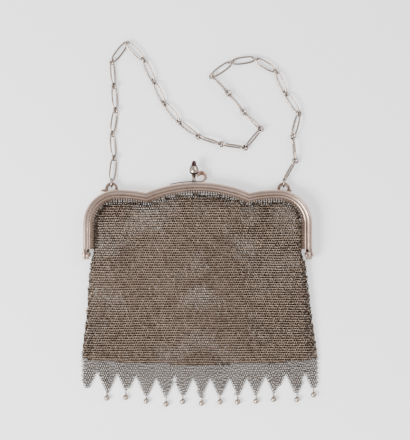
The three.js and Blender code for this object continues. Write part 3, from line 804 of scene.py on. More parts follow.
def clasp_ball():
    """The knob: stem with a collar, pear-shaped ball and a cup for the stone."""
    base = ARCH_TOP + CLEAR
    ball = base + KNOB_STEM + KNOB
    cup = STONE_RADIUS + CLEAR + SETTING
    top = ball + KNOB
    profile = [(TURNED_TIP, base), (1.5, base), (1.6, base + 0.3), (1.35, base + 0.7)]
    profile += [(KNOB_STEM_RADIUS, base + 1.2), (KNOB_STEM_RADIUS * 0.92, base + 3.2)]
    profile += [(1.3, base + 3.8), (1.35, base + 4.2), (1.15, base + KNOB_STEM)]
    profile += [(KNOB * radius, ball + KNOB * along) for radius, along in PEAR]
    profile += [(cup, ball + KNOB * 0.86), (cup, top), (cup - SETTING, top)]
    profile += [(cup - SETTING, top - SETTING_DEPTH), (TURNED_TIP, top - SETTING_DEPTH)]
    made = turned("clasp_ball", profile, 40, lambda a, b, y: at(KNOB_X + a, y, KNOB_HEIGHT + b))
    tarnish_and_shade = []
    for v in made.data.vertices:
        up = (v.co.y - at(0, base).y) / MM
        tarnish_and_shade.append(0.8 if up < 1.0 or 3.0 < up < 5.6 or up > KNOB_STEM + 2 * KNOB - 0.6 else 0.0)
    mark(made, "tarnish_and_shade", tarnish_and_shade)
    crisp(made, 50)
    hand_over(made, CHAIN_SILVER, "frame_silver", "clasp_knob")


def clasp_gem():
    """The stone: a bullet-shaped cabochon."""
    seat = ARCH_TOP + CLEAR + KNOB_STEM + 2 * KNOB - SETTING_DEPTH + CLEAR
    profile = [(TURNED_TIP, seat), (STONE_RADIUS, seat), (STONE_RADIUS, seat + STONE_HEIGHT * 0.25)]
    for i in range(1, 11):
        angle = math.pi / 2 * i / 10
        profile.append((
            max(TURNED_TIP, STONE_RADIUS * math.cos(angle) ** 0.9),
            seat + STONE_HEIGHT * (0.25 + 0.75 * math.sin(angle)),
        ))
    made = turned("clasp_gem", profile, 32, lambda a, b, y: at(KNOB_X + a, y, KNOB_HEIGHT + b))
    crisp(made, 60)
    hand_over(made, GARNET, "stone", "clasp_stone")


HOOK_THICKNESS = 0.7
HOOK_WIDTH = 3.2
HOOK_FOOT = -18.0
HOOK_BEND = 2.1
HOOK_ROUNDING = 0.18
SCROLL = 3.2
SCROLL_END = 1.4
SCROLL_TWIST = math.radians(62)
ARCH_STEPS = 24
SCROLL_STEPS = 48


def clasp_spring():
    """The strip spring: along the arch from its foot, then up and round in a scroll that leans open."""
    arch_radius = (CUSP_X**2 + ARCH_RISE**2) / (2 * ARCH_RISE)
    lie = arch_radius + CLEAR + HOOK_THICKNESS / 2
    start, end = math.asin(HOOK_FOOT / lie), math.asin(HOOK_BEND / lie)
    route = []
    for i in range(ARCH_STEPS + 1):
        angle = start + (end - start) * i / ARCH_STEPS
        route.append((lie * math.sin(angle), ARCH_TOP - arch_radius + lie * math.cos(angle)))
    bend_x, bend_y = route[-1]
    for i in range(1, SCROLL_STEPS + 1):
        share = i / SCROLL_STEPS
        angle = share * math.pi * 1.55 - math.pi / 2 - end
        radius = SCROLL + (SCROLL_END - SCROLL) * share**2
        route.append((bend_x + radius * math.cos(angle), bend_y + SCROLL + radius * math.sin(angle)))
    middle = MIDDLE - CLEAR - HOOK_WIDTH / 2
    rings = []
    for i, (x, y) in enumerate(route):
        before, after = route[max(0, i - 1)], route[min(len(route) - 1, i + 1)]
        way = Vector((after[0] - before[0], after[1] - before[1])).normalized()
        out = Vector((way.y, -way.x, 0))
        lean = SCROLL_TWIST * (1 - (1 - max(0, (i - ARCH_STEPS) / SCROLL_STEPS)) ** 2)
        across = Vector((0, 0, math.cos(lean))) + out * math.sin(lean)
        thick = out * math.cos(lean) - Vector((0, 0, math.sin(lean)))
        along = i / (len(route) - 1)
        half = HOOK_THICKNESS / 2 * (1 - 0.3 * max(0.0, along - 0.7) / 0.3)
        narrow = 0.55 * max(0.0, (0.12 - along) / 0.12) + 0.25 * max(0.0, (along - 0.85) / 0.15)
        reach = HOOK_WIDTH / 2 * (1 - narrow)
        centre = Vector((x, y, middle))
        rings.append([
            at(*(centre + thick * half * a + across * reach * b))
            for a, b in ((-1, -1), (1, -1), (1, 1), (-1, 1))
        ])
    made = bar("clasp_spring", rings)
    soften(made, HOOK_ROUNDING)
    crisp(made, 40)
    hand_over(made, FRAME_SILVER, "frame_silver", "clasp_hook")


clasp_ball()
clasp_gem()
clasp_spring()

# %% [markdown]
# ## The bag's form
#
# The bag is a limp envelope: it hangs in the frame, swells a little in the middle and thins out
# towards its lower edge, with soft upright folds. This smooth shell is never shown. It only tells
# the rings where to lie and which way to face.

# %% Bag shell
BODY_LENGTH = 67.4
BODY_BOW = 3.8
BOW_FLATNESS = 2.5
BODY_WIDTH = 154.7
BODY_SHIFT = 1.4
MOUTH_GAP = 0.5
MOUTH_DEPTH = 8.5
FAN_POWER = 1.5
ROW_DOWN = (0, 0.03, 0.09, 0.29, 0.52, 0.78, 1)
ROW_DEPTH = (1, 0.99, 0.97, 0.9, 0.78, 0.58, 0.36)
SIDE_OUT = (0, 0.022, 0.026, 0.018, 0.007, 0.003, 0)
SHELL_ROWS = 64
FAN_END = 0.015
SIDE_SHARPNESS = 100
HINGE_SHARE = 0.1
FOLDS = (
    # across, width, down, rise
    (0.20, 0.07, 0.45, 0.06),
    (0.30, 0.05, 0.30, -0.08),
    (0.40, 0.06, 0.40, 0.05),
    (0.68, 0.06, 0.35, -0.06),
    (0.85, 0.06, 0.55, 0.07),
)
RING_INSET = 1.1
SIDE_ROUND = 0.04
MOUTH_SHADE = 9.0
SIDE_BAND = 6.5


def low_edge(across, inset=0.0):
    """The bag's lower edge, which bows down in the middle."""
    x = BODY_SHIFT + (BODY_WIDTH - 2 * inset) * (across - 0.5)
    return x, -BODY_LENGTH - BODY_BOW * (1 - abs(2 * across - 1) ** BOW_FLATNESS)


def bag_shell():
    """The closed shell of the bag, open at the mouth, as a mesh for the rings to lie on."""
    edge = frame_edge(foot=0.0)
    mouth = inward(edge, BAND + MOUTH_GAP)
    shares = reach_along(mouth)
    shares = shares / shares[-1]
    extra = np.array([0.003, 0.006, 0.01, 0.014, 0.02, 0.027, 0.034, 0.042])
    across_all = np.unique(np.concatenate([shares, extra, 1 - extra]))
    depth_curve = np.polyfit(ROW_DOWN, ROW_DEPTH, 3)
    rings, near = [], []
    for down in np.linspace(0, 1, SHELL_ROWS):
        front, back, closeness = [], [], []
        for across in across_all:
            mouth_x = np.interp(across, shares, mouth[:, 0])
            mouth_y = np.interp(across, shares, mouth[:, 1])
            low_x, low_y = low_edge(across, RING_INSET)
            side = math.copysign(1, across - 0.5)
            from_end = min(across, 1 - across)
            fan = down ** (1 + (FAN_POWER - 1) * min(1.0, from_end / FAN_END))
            at_side = abs(2 * across - 1) ** SIDE_SHARPNESS
            out = np.interp(down, ROW_DOWN, SIDE_OUT) * BODY_WIDTH / 2 * at_side
            x = mouth_x + (low_x - mouth_x) * fan + side * out
            y = mouth_y + (low_y - mouth_y) * down
            fold = sum(
                rise * math.exp(-(((across - at_) / width) ** 2))
                * math.sin(math.pi * down) * math.exp(-((down - strongest) ** 2) * 4)
                for at_, width, strongest, rise in FOLDS
            )
            depth = MOUTH_DEPTH * np.polyval(depth_curve, down) * (1 + fold) - RING_INSET
            edge_share = min(1.0, from_end / SIDE_ROUND)
            swell = math.sqrt(1 - (1 - edge_share) ** 2)
            half = (depth - RING_INSET) / 2
            front.append(at(x, y, RING_INSET + half + half * swell))
            back.append(at(x, y, RING_INSET + half - half * swell))
            from_mouth = math.hypot(x - mouth_x, y - mouth_y)
            to_side = BODY_WIDTH * from_end
            by_hinge = min(1.0, from_end / HINGE_SHARE)
            closeness.append((
                by_hinge * max(0.0, 1 - from_mouth / MOUTH_SHADE), max(0.0, 1 - to_side / SIDE_BAND), 0.0
            ))
        rings.append(front + back[::-1])
        near += closeness + closeness[::-1]
    count = len(rings[0])
    faces = skin(rings)
    half_count = count // 2
    low = (len(rings) - 1) * count
    faces += [
        (low + i, low + i + 1, low + count - 2 - i, low + count - 1 - i) for i in range(half_count - 1)
    ]
    made = new_object("bag_shell", [p for ring in rings for p in ring], faces, merge=False)
    layer = made.data.attributes.new("near", "FLOAT_VECTOR", "POINT")
    layer.data.foreach_set("vector", np.array(near, np.float32).ravel())
    return made


shell = bag_shell()
outward = sum(p.normal.z * p.area for p in shell.data.polygons if p.center.z > 0.004)
if outward < 0:
    shell.data.flip_normals()
print("shell:", len(shell.data.polygons), "faces")

# %% [markdown]
# ## Ring mesh
#
# The cloth is woven one ring into four: the rings lie in rows, all leaning the same way, and those of
# the next row sit half a pitch along. To model this, a flat grid of points is dropped onto the bag's
# shell from one side, every second row is shifted, and each point that lands gets a leaning ring that
# faces as the shell does there. Fourteen thousand rings are only affordable if each is very plain, so
# a ring has eight segments and a wire of three or four sides.

# %% What both trees of the purse share
def new_tree(name, sizes, counts):
    """A Geometry Nodes tree with named inputs for its sizes, its counts and its finish."""
    group = bpy.data.node_groups.new(name, "GeometryNodeTree")
    t = Tree(group)
    t.socket("Geometry", "Geometry")
    for label, value in sizes:
        t.socket(label, "Float", value)
    for label, value in counts:
        t.socket(label, "Int", value)
    t.socket("Material", "Material")
    t.socket("Geometry", "Geometry", out=True)
    return group, t, t.add("NodeGroupInput").outputs


def with_wire(t, given, path):
    """Gives a curve the wire that the tree's inputs ask for."""
    wire = t.add("GeometryNodeCurvePrimitiveCircle", {
        "Resolution": given["Wire sides"], "Radius": t.times(given["Wire"], 0.5),
    }).outputs["Curve"]
    return t.add("GeometryNodeCurveToMesh", {"Curve": path, "Profile Curve": wire}).outputs[0]


def real_copies(t, points, loop, rotation, seed):
    """A real copy of a loop at each point, each with a tone of its own."""
    copies = t.add("GeometryNodeInstanceOnPoints", {
        "Points": points, "Instance": loop, "Rotation": rotation,
    }).outputs[0]
    copies = t.store(copies, "tone", t.random(0.0, 1.0, seed), domain="INSTANCE")
    return t.add("GeometryNodeRealizeInstances", {"Geometry": copies}).outputs[0]


def end_tree(t, whole, material):
    """Shades the result smooth, gives it its finish and puts it out."""
    whole = t.add("GeometryNodeSetShadeSmooth", {"Geometry": whole}).outputs[0]
    whole = t.add("GeometryNodeSetMaterial", {"Geometry": whole, "Material": material}).outputs[0]
    t.add("NodeGroupOutput", {"Geometry": whole})


# %% Ring sheet tree
CLOTH_WANDER_SCALE = 34.0
TONE_SEED = 7.0
POLISHED_ABOVE = 0.55
BLACK_BELOW = -0.35


def ring_sheet_tree():
    """Geometry Nodes: covers the side of a shell that faces one way with leaning rings."""
    sizes = (
        ("Column pitch", 1.45 * MM), ("Row pitch", 1.58 * MM), ("Ring width", 2.5 * MM),
        ("Wire", 0.74 * MM), ("Lean", 0.56), ("Unrest", 0.3), ("Wander", 0.0),
        ("Side", 0.0), ("Least facing", 0.5), ("Open mouth", 0.8),
        ("Depth of shade", 1.0 * MM), ("Shade", 0.0),
    )
    group, t, given = new_tree("ring_sheet", sizes, (("Segments", 8), ("Wire sides", 4), ("Seed", 0)))
    box = t.add("GeometryNodeBoundBox", {0: given["Geometry"]}).outputs
    size = t.vector("SUBTRACT", box["Max"], box["Min"])
    centre = t.vector("SCALE", t.vector("ADD", box["Max"], box["Min"]), 0.5)
    extent = t.add("ShaderNodeSeparateXYZ", {0: size}).outputs
    width = t.math("MAXIMUM", extent["X"], extent["Z"])
    columns = t.math("ROUND", t.math("DIVIDE", width, given["Column pitch"]))
    rows = t.math("ROUND", t.math("DIVIDE", extent["Y"], given["Row pitch"]))
    grid = t.add("GeometryNodeMeshGrid", {
        "Size X": t.times(columns, given["Column pitch"]),
        "Size Y": t.times(rows, given["Row pitch"]),
        "Vertices X": t.plus(columns, 1.0),
        "Vertices Y": t.plus(rows, 1.0),
    }).outputs["Mesh"]

    # every second row is shifted by half a pitch
    place = t.add("GeometryNodeInputPosition").outputs[0]
    part = t.add("ShaderNodeSeparateXYZ", {0: place}).outputs
    row = t.math("ROUND", t.math("DIVIDE", t.plus(part["Y"], 1.0), given["Row pitch"]))
    odd = t.math("MODULO", row, 2.0)
    shift = t.times(t.math("SUBTRACT", odd, 0.5), t.times(given["Column pitch"], 0.5))
    noise = t.add("ShaderNodeTexNoise", {
        "Vector": place, "Scale": CLOTH_WANDER_SCALE, "Detail": 1.0,
    }).outputs["Color"]
    drift = t.vector("MULTIPLY", t.vector("SUBTRACT", noise, (0.5, 0.5, 0.5)), (1.0, 1.0, 0.0))
    drift = t.vector("SCALE", drift, given["Wander"])
    start = t.vector("ADD", place, t.add("ShaderNodeCombineXYZ", {"X": shift, "Z": 0.2}).outputs[0])
    start = t.vector("ADD", start, drift)
    turned_start = t.add(
        "ShaderNodeVectorRotate", {"Vector": start, "Angle": given["Side"]}, rotation_type="Y_AXIS"
    ).outputs[0]
    ray = t.add(
        "ShaderNodeVectorRotate", {"Vector": (0, 0, -1), "Angle": given["Side"]}, rotation_type="Y_AXIS"
    ).outputs[0]
    hit = t.add("GeometryNodeRaycast", {
        "Target Geometry": given["Geometry"],
        "Source Position": t.vector("ADD", turned_start, centre),
        "Ray Direction": ray,
        "Ray Length": 1.0,
        "Attribute": t.named("near", "FLOAT_VECTOR"),
    }, data_type="FLOAT_VECTOR").outputs
    near = t.add("ShaderNodeSeparateXYZ", {0: hit["Attribute"]}).outputs
    facing = t.times(t.vector("DOT_PRODUCT", hit["Hit Normal"], ray), -1.0)
    landed = t.times(hit["Is Hit"], t.math("GREATER_THAN", facing, given["Least facing"]))

    # the sheet stops short of the frame; painted shade darkens the rings near the frame, and beside the arms
    # every second ring is painted dark as painted shade
    landed = t.times(landed, t.math("LESS_THAN", near["X"], given["Open mouth"]))
    column = t.math("ROUND", t.math("DIVIDE", t.plus(part["X"], 1.0), given["Column pitch"]))
    diagonal = t.math("MODULO", t.plus(column, t.math("FLOOR", t.times(row, 0.5))), 2.0)
    painted_side_shade = t.times(t.math("GREATER_THAN", near["Y"], 0.02), diagonal)
    shade = t.plus(t.times(near["X"], 0.3), t.times(painted_side_shade, 0.4))
    shade = t.plus(shade, given["Shade"])
    kept = grid
    for name, kind, value in (
        ("facing", "FLOAT_VECTOR", hit["Hit Normal"]),
        ("landing", "FLOAT_VECTOR", hit["Hit Position"]),
        ("landed", "FLOAT", landed),
        ("shade", "FLOAT", shade),
    ):
        kept = t.store(kept, name, value, kind)
    missed = t.math("LESS_THAN", t.named("landed"), 0.5)
    kept = t.add("GeometryNodeDeleteGeometry", {"Geometry": kept, "Selection": missed}).outputs[0]
    kept = t.add(
        "GeometryNodeSetPosition", {"Geometry": kept, "Position": t.named("landing", "FLOAT_VECTOR")}
    ).outputs[0]

    # one ring, bent from a circle and given a plain wire
    loop = t.add("GeometryNodeCurvePrimitiveCircle", {
        "Resolution": given["Segments"],
        "Radius": t.times(t.math("SUBTRACT", given["Ring width"], given["Wire"]), 0.5),
    }).outputs["Curve"]
    ring = with_wire(t, given, loop)
    face = t.add(
        "FunctionNodeAlignRotationToVector", {"Vector": t.named("facing", "FLOAT_VECTOR")}, axis="Z"
    ).outputs[0]
    unrest = t.times(given["Unrest"], -1.0)
    turn = [t.random(unrest, given["Unrest"], t.plus(given["Seed"], float(i))) for i in range(3)]
    lean = t.plus(given["Lean"], turn[0])
    bent = t.add("ShaderNodeCombineXYZ", {"X": lean, "Y": turn[1], "Z": turn[2]}).outputs[0]
    rotation = t.add(
        "FunctionNodeRotateRotation", {"Rotation": face, "Rotate By": bent}, rotation_space="LOCAL"
    ).outputs[0]
    whole = real_copies(t, kept, ring, rotation, t.plus(given["Seed"], TONE_SEED))

    # what stands out of the cloth keeps its clean silver; painted shade and tarnish darken what lies deep in
    # it
    offset = t.vector(
        "SUBTRACT", t.add("GeometryNodeInputPosition").outputs[0], t.named("landing", "FLOAT_VECTOR")
    )
    height = t.vector("DOT_PRODUCT", offset, t.named("facing", "FLOAT_VECTOR"))
    depth = t.math("DIVIDE", height, given["Depth of shade"])
    deep = t.between(depth, POLISHED_ABOVE, BLACK_BELOW)
    tarnish_and_shade = t.plus(deep, t.named("shade"))
    end_tree(t, t.store(whole, "tarnish_and_shade", tarnish_and_shade), given["Material"])
    return group


RING_SHEET = ring_sheet_tree()


def with_nodes(name, source, group, **inputs):
    """A new piece made by a Geometry Nodes tree from a source mesh, as a plain mesh."""
    made = add_object(name, source.data.copy())
    modifier = made.modifiers.new(name, "NODES")
    modifier.node_group = group
    sockets = {s.name: s.identifier for s in group.interface.items_tree if s.in_out == "INPUT"}
    for key, value in inputs.items():
        modifier[sockets[key.replace("_", " ").capitalize()]] = value
    settle(made)
    for spare in ("facing", "landing", "landed", "shade", "near"):
        if spare in made.data.attributes:
            made.data.attributes.remove(made.data.attributes[spare])
    return made


# %% [markdown]
# The front and the back are each covered by rays from above and below. The narrow side folds face
# neither way, so rays from the left and the right cover those. A piece should stay under two hundred
# thousand triangles, so the front is split in three and the back in two, along columns of rings.

# %% Bag of rings
def split_piece(name, source, parts, material, slot, *nodes):
    """Shares a sheet's rings out over several pieces by their place across."""
    mesh = source.data
    loose = loose_islands(mesh)
    places = np.array([v.co.x for v in mesh.vertices])
    middles = np.bincount(loose, places) / np.bincount(loose)
    limits = np.quantile(middles, np.linspace(0, 1, parts + 1)[1:-1])
    group_of = np.searchsorted(limits, middles)[loose]
    for part in range(parts):
        bm = bmesh.new()
        bm.from_mesh(mesh)
        bm.verts.ensure_lookup_table()
        others = [bm.verts[i] for i in np.nonzero(group_of != part)[0]]
        bmesh.ops.delete(bm, geom=others, context="VERTS")
        piece_name = f"{name}_{part + 1}"
        piece_mesh = bpy.data.meshes.new(piece_name)
        bm.to_mesh(piece_mesh)
        bm.free()
        piece_mesh.shade_smooth()
        hand_over(add_object(piece_name, piece_mesh), material, slot, *nodes)
    bpy.data.objects.remove(source)


def loose_islands(mesh):
    """A number for each point that says which loose ring it belongs to."""
    count = len(mesh.vertices)
    edges = np.zeros(len(mesh.edges) * 2, np.int64)
    mesh.edges.foreach_get("vertices", edges)
    edges = edges.reshape(-1, 2)
    label = np.arange(count)
    while True:
        low = np.minimum(label[edges[:, 0]], label[edges[:, 1]])
        after = label.copy()
        np.minimum.at(after, edges[:, 0], low)
        np.minimum.at(after, edges[:, 1], low)
        if np.array_equal(after, label):
            break
        label = after
    return np.unique(label, return_inverse=True)[1]


CLOTH_WANDER = 1.3 * MM
FACE_LIMIT = 0.6
SIDE_LIMIT = 0.8
front = with_nodes(
    "bag_front", shell, RING_SHEET, side=0.0, least_facing=FACE_LIMIT, wire_sides=4, wander=CLOTH_WANDER,
    material=MESH_SILVER, seed=11,
)
back = with_nodes(
    "bag_back", shell, RING_SHEET, side=math.pi, least_facing=FACE_LIMIT, wire_sides=3,
    wander=CLOTH_WANDER, wire=0.82 * MM, open_mouth=2.0, material=MESH_SILVER, seed=23,
)
split_piece("bag_front", front, 3, MESH_SILVER, "mesh_silver", "mesh_pouch")
split_piece("bag_back", back, 2, MESH_SILVER, "mesh_silver", "mesh_pouch")
sides = [
    with_nodes(
        f"side_{hand}", shell, RING_SHEET, side=hand * math.pi / 2, least_facing=SIDE_LIMIT,
        wire_sides=4, material=MESH_SILVER, seed=31 + hand,
    )
    for hand in (-1, 1)
]
bag_sides = join("bag_sides", *sides)
hand_over(bag_sides, MESH_SILVER, "mesh_silver", "mesh_pouch")

# %% [markdown]
# ## The fringe
#
# Below the bag the mesh runs on as a single layer, cut in thirteen points. It is the same cloth, so
# the same tree makes it, on a flat sheet with the fringe's outline.

# %% Fringe
POINT_COUNT = 13
POINT_LENGTH = 20.0
TIP_WIDTH = 1.6
FRINGE_HEIGHT = 1.4
FRINGE_OVERLAP = 1.0
FRINGE = (
    # shift, tip, notch
    (-0.13, 1.02, 0.38),
    (-0.07, 1.06, 0.42),
    (-0.04, 1.00, 0.43),
    (0.08, 1.09, 0.49),
    (0.16, 1.17, 0.47),
    (0.07, 1.08, 0.50),
    (0.10, 1.13, 0.49),
    (0.10, 1.09, 0.49),
    (0.06, 1.10, 0.46),
    (0.07, 1.09, 0.46),
    (0.03, 1.06, 0.47),
    (0.30, 1.11, 0.42),
    (0.21, 1.01, 0.79),
)


def fringe_tips():
    """Where the points end, as x and y in millimetres."""
    pitch = BODY_WIDTH / POINT_COUNT
    tips = []
    for i, (shift, tip, _) in enumerate(FRINGE):
        across = (i + 0.5) / POINT_COUNT
        low_x, low_y = low_edge(across)
        tips.append((low_x + shift * pitch, low_y - tip * POINT_LENGTH))
    return tips


TIPS = fringe_tips()


def fringe_sheet():
    """A flat sheet with the fringe's outline, in strips from the bag's lower edge."""
    inset = RING_INSET
    half = BODY_WIDTH / 2 - inset
    side_y = -BODY_LENGTH - FRINGE[-1][2] * POINT_LENGTH
    lower = [(BODY_SHIFT - half, side_y)]
    for i, (x, y) in enumerate(TIPS):
        lower += [(x - TIP_WIDTH * 0.3, y + inset), (x + TIP_WIDTH * 0.3, y + inset)]
        if i < POINT_COUNT - 1:
            low_y = low_edge((i + 1) / POINT_COUNT)[1]
            lower.append(((x + TIPS[i + 1][0]) / 2, low_y - FRINGE[i][2] * POINT_LENGTH + inset))
    lower.append((BODY_SHIFT + half, side_y))
    upper = []
    for x, _ in lower:
        across = (x - BODY_SHIFT) / BODY_WIDTH + 0.5
        upper.append((x, low_edge(across)[1] + FRINGE_OVERLAP))
    points = [at(x, y, FRINGE_HEIGHT) for x, y in upper + lower]
    count = len(lower)
    faces = [(i, i + 1, count + i + 1, count + i) for i in range(count - 1)]
    return new_object("fringe_sheet", points, faces)


sheet = fringe_sheet()
if sheet.data.polygons[0].normal.z < 0:
    sheet.data.flip_normals()
fringe = with_nodes(
    "fringe_mesh", sheet, RING_SHEET, side=0.0, least_facing=FACE_LIMIT, wire_sides=4,
    column_pitch=1.4 * MM, row_pitch=1.52 * MM, wire=0.6 * MM, lean=0.84, shade=0.36,
    material=MESH_SILVER, seed=47, wander=0.8 * MM,
)
hand_over(fringe, MESH_SILVER, "mesh_silver", "mesh_fringe")
for spare in (shell, sheet):
    bpy.data.objects.remove(spare)

# %% [markdown]
# ## Wire links
#
# Long links, small rings, jump rings and the rings that hook the mesh to the frame are all closed
# loops of round wire. One tree makes them: it draws a circle out to an oval, whose sides a power below
# one flattens, gives it a wire, and puts a copy at each point of a mesh, turned by two directions
# stored on the points.

# %% Wire link tree
def wire_link_tree():
    """Geometry Nodes: an oval or round wire loop at each point, along and normal to its attributes."""
    sizes = (("Length", 15 * MM), ("Width", 5.2 * MM), ("Wire", 0.95 * MM), ("Power", 1.0))
    group, t, given = new_tree("wire_links", sizes, (("Steps", 24), ("Wire sides", 10), ("Seed", 0)))
    circle = t.add("GeometryNodeCurvePrimitiveCircle", {"Resolution": given["Steps"], "Radius": 1.0})
    part = t.add("ShaderNodeSeparateXYZ", {0: t.add("GeometryNodeInputPosition").outputs[0]}).outputs

    def drawn(value, size):
        bulge = t.math("POWER", t.math("ABSOLUTE", value), given["Power"])
        reach = t.times(t.math("SUBTRACT", size, given["Wire"]), 0.5)
        return t.times(t.times(bulge, t.math("SIGN", value)), reach)

    oval = t.add("GeometryNodeSetPosition", {
        "Geometry": circle.outputs["Curve"],
        "Position": t.add("ShaderNodeCombineXYZ", {
            "X": drawn(part["X"], given["Length"]), "Y": drawn(part["Y"], given["Width"]),
        }).outputs[0],
    }).outputs[0]
    link = with_wire(t, given, oval)
    rotation = t.add("FunctionNodeAxesToRotation", {
        "Primary Axis": t.named("along", "FLOAT_VECTOR"),
        "Secondary Axis": t.named("normal", "FLOAT_VECTOR"),
    }, primary_axis="X", secondary_axis="Z").outputs[0]
    whole = real_copies(t, given["Geometry"], link, rotation, given["Seed"])
    end_tree(t, whole, given["Material"])
    return group


WIRE_LINKS = wire_link_tree()


def link_points(name, rows):
    """Points with an along and a normal direction each, for the wire link tree."""
    mesh = bpy.data.meshes.new(name)
    mesh.from_pydata([tuple(row[0]) for row in rows], [], [])
    for key, column in (("along", 1), ("normal", 2)):
        layer = mesh.attributes.new(key, "FLOAT_VECTOR", "POINT")
        layer.data.foreach_set("vector", np.array([tuple(row[column]) for row in rows], np.float32).ravel())
    return add_object(name, mesh)


def wire_loops(name, rows, length, width, wire, **more):
    """One mesh of all the loops in rows, sizes in millimetres."""
    points = link_points(name + "_points", rows)
    made = with_nodes(
        name, points, WIRE_LINKS, length=length * MM, width=width * MM, wire=wire * MM, **more
    )
    bpy.data.objects.remove(points)
    return made


# %% [markdown]
# ## The first row
#
# Along the frame each ring of the first row goes through a hole of the flange. Seen from above these
# rings stand almost on edge, side by side, with dark gaps between them.

# %% Hooked rings
HOOKED_LENGTH = 3.9
HOOKED_WIDTH = 2.0
HOOKED_WIRE = 0.5
HOOKED_LEAN = math.radians(86)
HOOKED_DOWN = 0.18
HOOKED_BELOW_FLANGE = 0.45
HOOKED_SHADE_FRONT = 0.6
HOOKED_SHADE_BACK = 1.0


def hooked_rows(side):
    """Places and directions of the rings in one jaw's flange."""
    places, ways = even_line(inward(EDGE, HOLE_INSET + HOOKED_LENGTH / 2 - HOOKED_WIRE), HOLE_PITCH)
    rows = []
    for i, ((x, y), (way_x, way_y)) in enumerate(zip(places, ways)):
        away = Vector((way_y, -way_x, -HOOKED_DOWN * side)).normalized()
        line = Vector((way_x, way_y, 0))
        facing = Matrix.Rotation(HOOKED_LEAN * (1 if i % 2 else 0.8), 3, away) @ away.cross(line)
        rows.append((at(x, y, MIDDLE + side * (MIDDLE - FLANGE_DROP - HOOKED_BELOW_FLANGE)), away, facing))
    return rows


hooked = wire_loops(
    "hooked_rings", hooked_rows(1) + hooked_rows(-1), HOOKED_LENGTH, HOOKED_WIDTH, HOOKED_WIRE,
    steps=12, wire_sides=5, material=MESH_SILVER, seed=3,
)
# painted shade: the rings of the back jaw are painted fully dark, those of the front jaw partly
below = np.array([v.co.z < MIDDLE * MM for v in hooked.data.vertices])
mark(hooked, "tarnish_and_shade", np.where(below, HOOKED_SHADE_BACK, HOOKED_SHADE_FRONT))
hand_over(hooked, MESH_SILVER, "mesh_silver", "mesh_pouch")

# %% [markdown]
# ## The balls
#
# Twelve of the thirteen points still have their silver ball on a jump ring. A ball is two stamped
# halves with an eye soldered on, so it is turned with a small neck at the top.

# %% Ball drops
BALL = 1.8
DROP_RING = 1.0
DROP_WIRE = 0.5
TIP_HOLE = 1.15
BALL_SINK = 0.25
BALLS = tuple(range(1, POINT_COUNT))


def ball_drops():
    """All balls with their jump rings, in the place of the twelve drops."""
    ring_rows, parts = [], []
    ring_height = DROP_RING + DROP_WIRE / 2
    for i in BALLS:
        x, y = TIPS[i]
        ring_y = y + TIP_HOLE - DROP_RING
        lean = 0.5 * math.sin(i * 2.4)
        normal = Vector((math.cos(lean), 0, math.sin(lean)))
        ring_rows.append((at(x, ring_y, ring_height), Vector((0, 1, 0)), normal))
        ball_y = ring_y - DROP_RING - DROP_WIRE / 2 - BALL + BALL_SINK
        profile = [(TURNED_TIP, -BALL)]
        profile += [
            (BALL * math.cos(angle), BALL * math.sin(angle))
            for angle in np.linspace(-math.pi / 2, math.pi / 2, 17)[1:-1]
        ]
        profile += [(0.62, BALL - 0.02), (0.5, BALL + 0.25), (TURNED_TIP, BALL + 0.3)]
        parts.append(turned(
            f"ball_{i + 1}", profile, 24, lambda a, b, y, x=x, ball_y=ball_y: at(x + a, ball_y + y, BALL + b)
        ))
    width = 2 * DROP_RING + DROP_WIRE
    parts.append(wire_loops(
        "jump_rings", ring_rows, width, width, DROP_WIRE, steps=16, wire_sides=8,
        material=DROP_SILVER, seed=5,
    ))
    return join("ball_drops", *parts)


drops = ball_drops()
hand_over(drops, DROP_SILVER, "drop_silver", *[f"drop_{i + 1:02d}" for i in BALLS])

# %% [markdown]
# ## The chain
#
# The chain is laid down in an easy curve. Its rings are listed where they lie, and then pulled
# together or apart until each link fits between its two rings, as a real chain settles. Some links
# lie flat and some stand on edge, so each has a roll.

# %% Chain
LINK_LENGTH = 15.6
LINK_WIDTH = 5.2
LINK_POWER = 0.77
CHAIN_WIRE = 1.15
RING_WIDTH = 4.4
END_RING_WIDTH = 6.3
END_RING_WIRE = 1.2
CHAIN_BITE = 0.12
FIRST_ROLL = 25
SETTLING_ROUNDS = 600
ROUTE = (
    # x, y, roll of the link that leaves this ring
    (-55.1, 61.6, 42),
    (-54.7, 77.3, 40),
    (-54.2, 92.8, 42),
    (-54.2, 108.7, 54),
    (-53.2, 122.3, 28),
    (-49.6, 133.0, 8),
    (-34.9, 127.4, 32),
    (-29.1, 113.4, 42),
    (-22.6, 97.9, 32),
    (-12.7, 85.4, 54),
    (-0.1, 75.3, 70),
    (16.3, 70.9, 72),
    (33.3, 68.9, 66),
    (41.8, 80.7, 72),
    (29.6, 92.4, 80),
    (19.4, 105.2, 78),
    (8.5, 115.7, 20),
    (21.3, 125.0, 8),
    (38.2, 127.3, 10),
    (51.3, 118.0, 36),
    (57.7, 103.7, 42),
    (64.0, 88.7, 46),
    (62.3, 74.8, 78),
    (60.4, 60.2, 72),
)


def standing(width, wire, roll):
    """How high a rolled loop of wire stands."""
    return (width - wire) / 2 * abs(math.sin(roll)) + wire / 2


def lug_ring(hand):
    """The middle of an end ring in its lug."""
    play = END_RING_WIDTH / 2 - END_RING_WIRE - LUG_STRIP / 2 - CLEAR
    return np.array([hand * LUG_X, SHOULDER_TOP + LUG_HEIGHT - LUG_STRIP / 2 + play, LUG_MIDDLE])


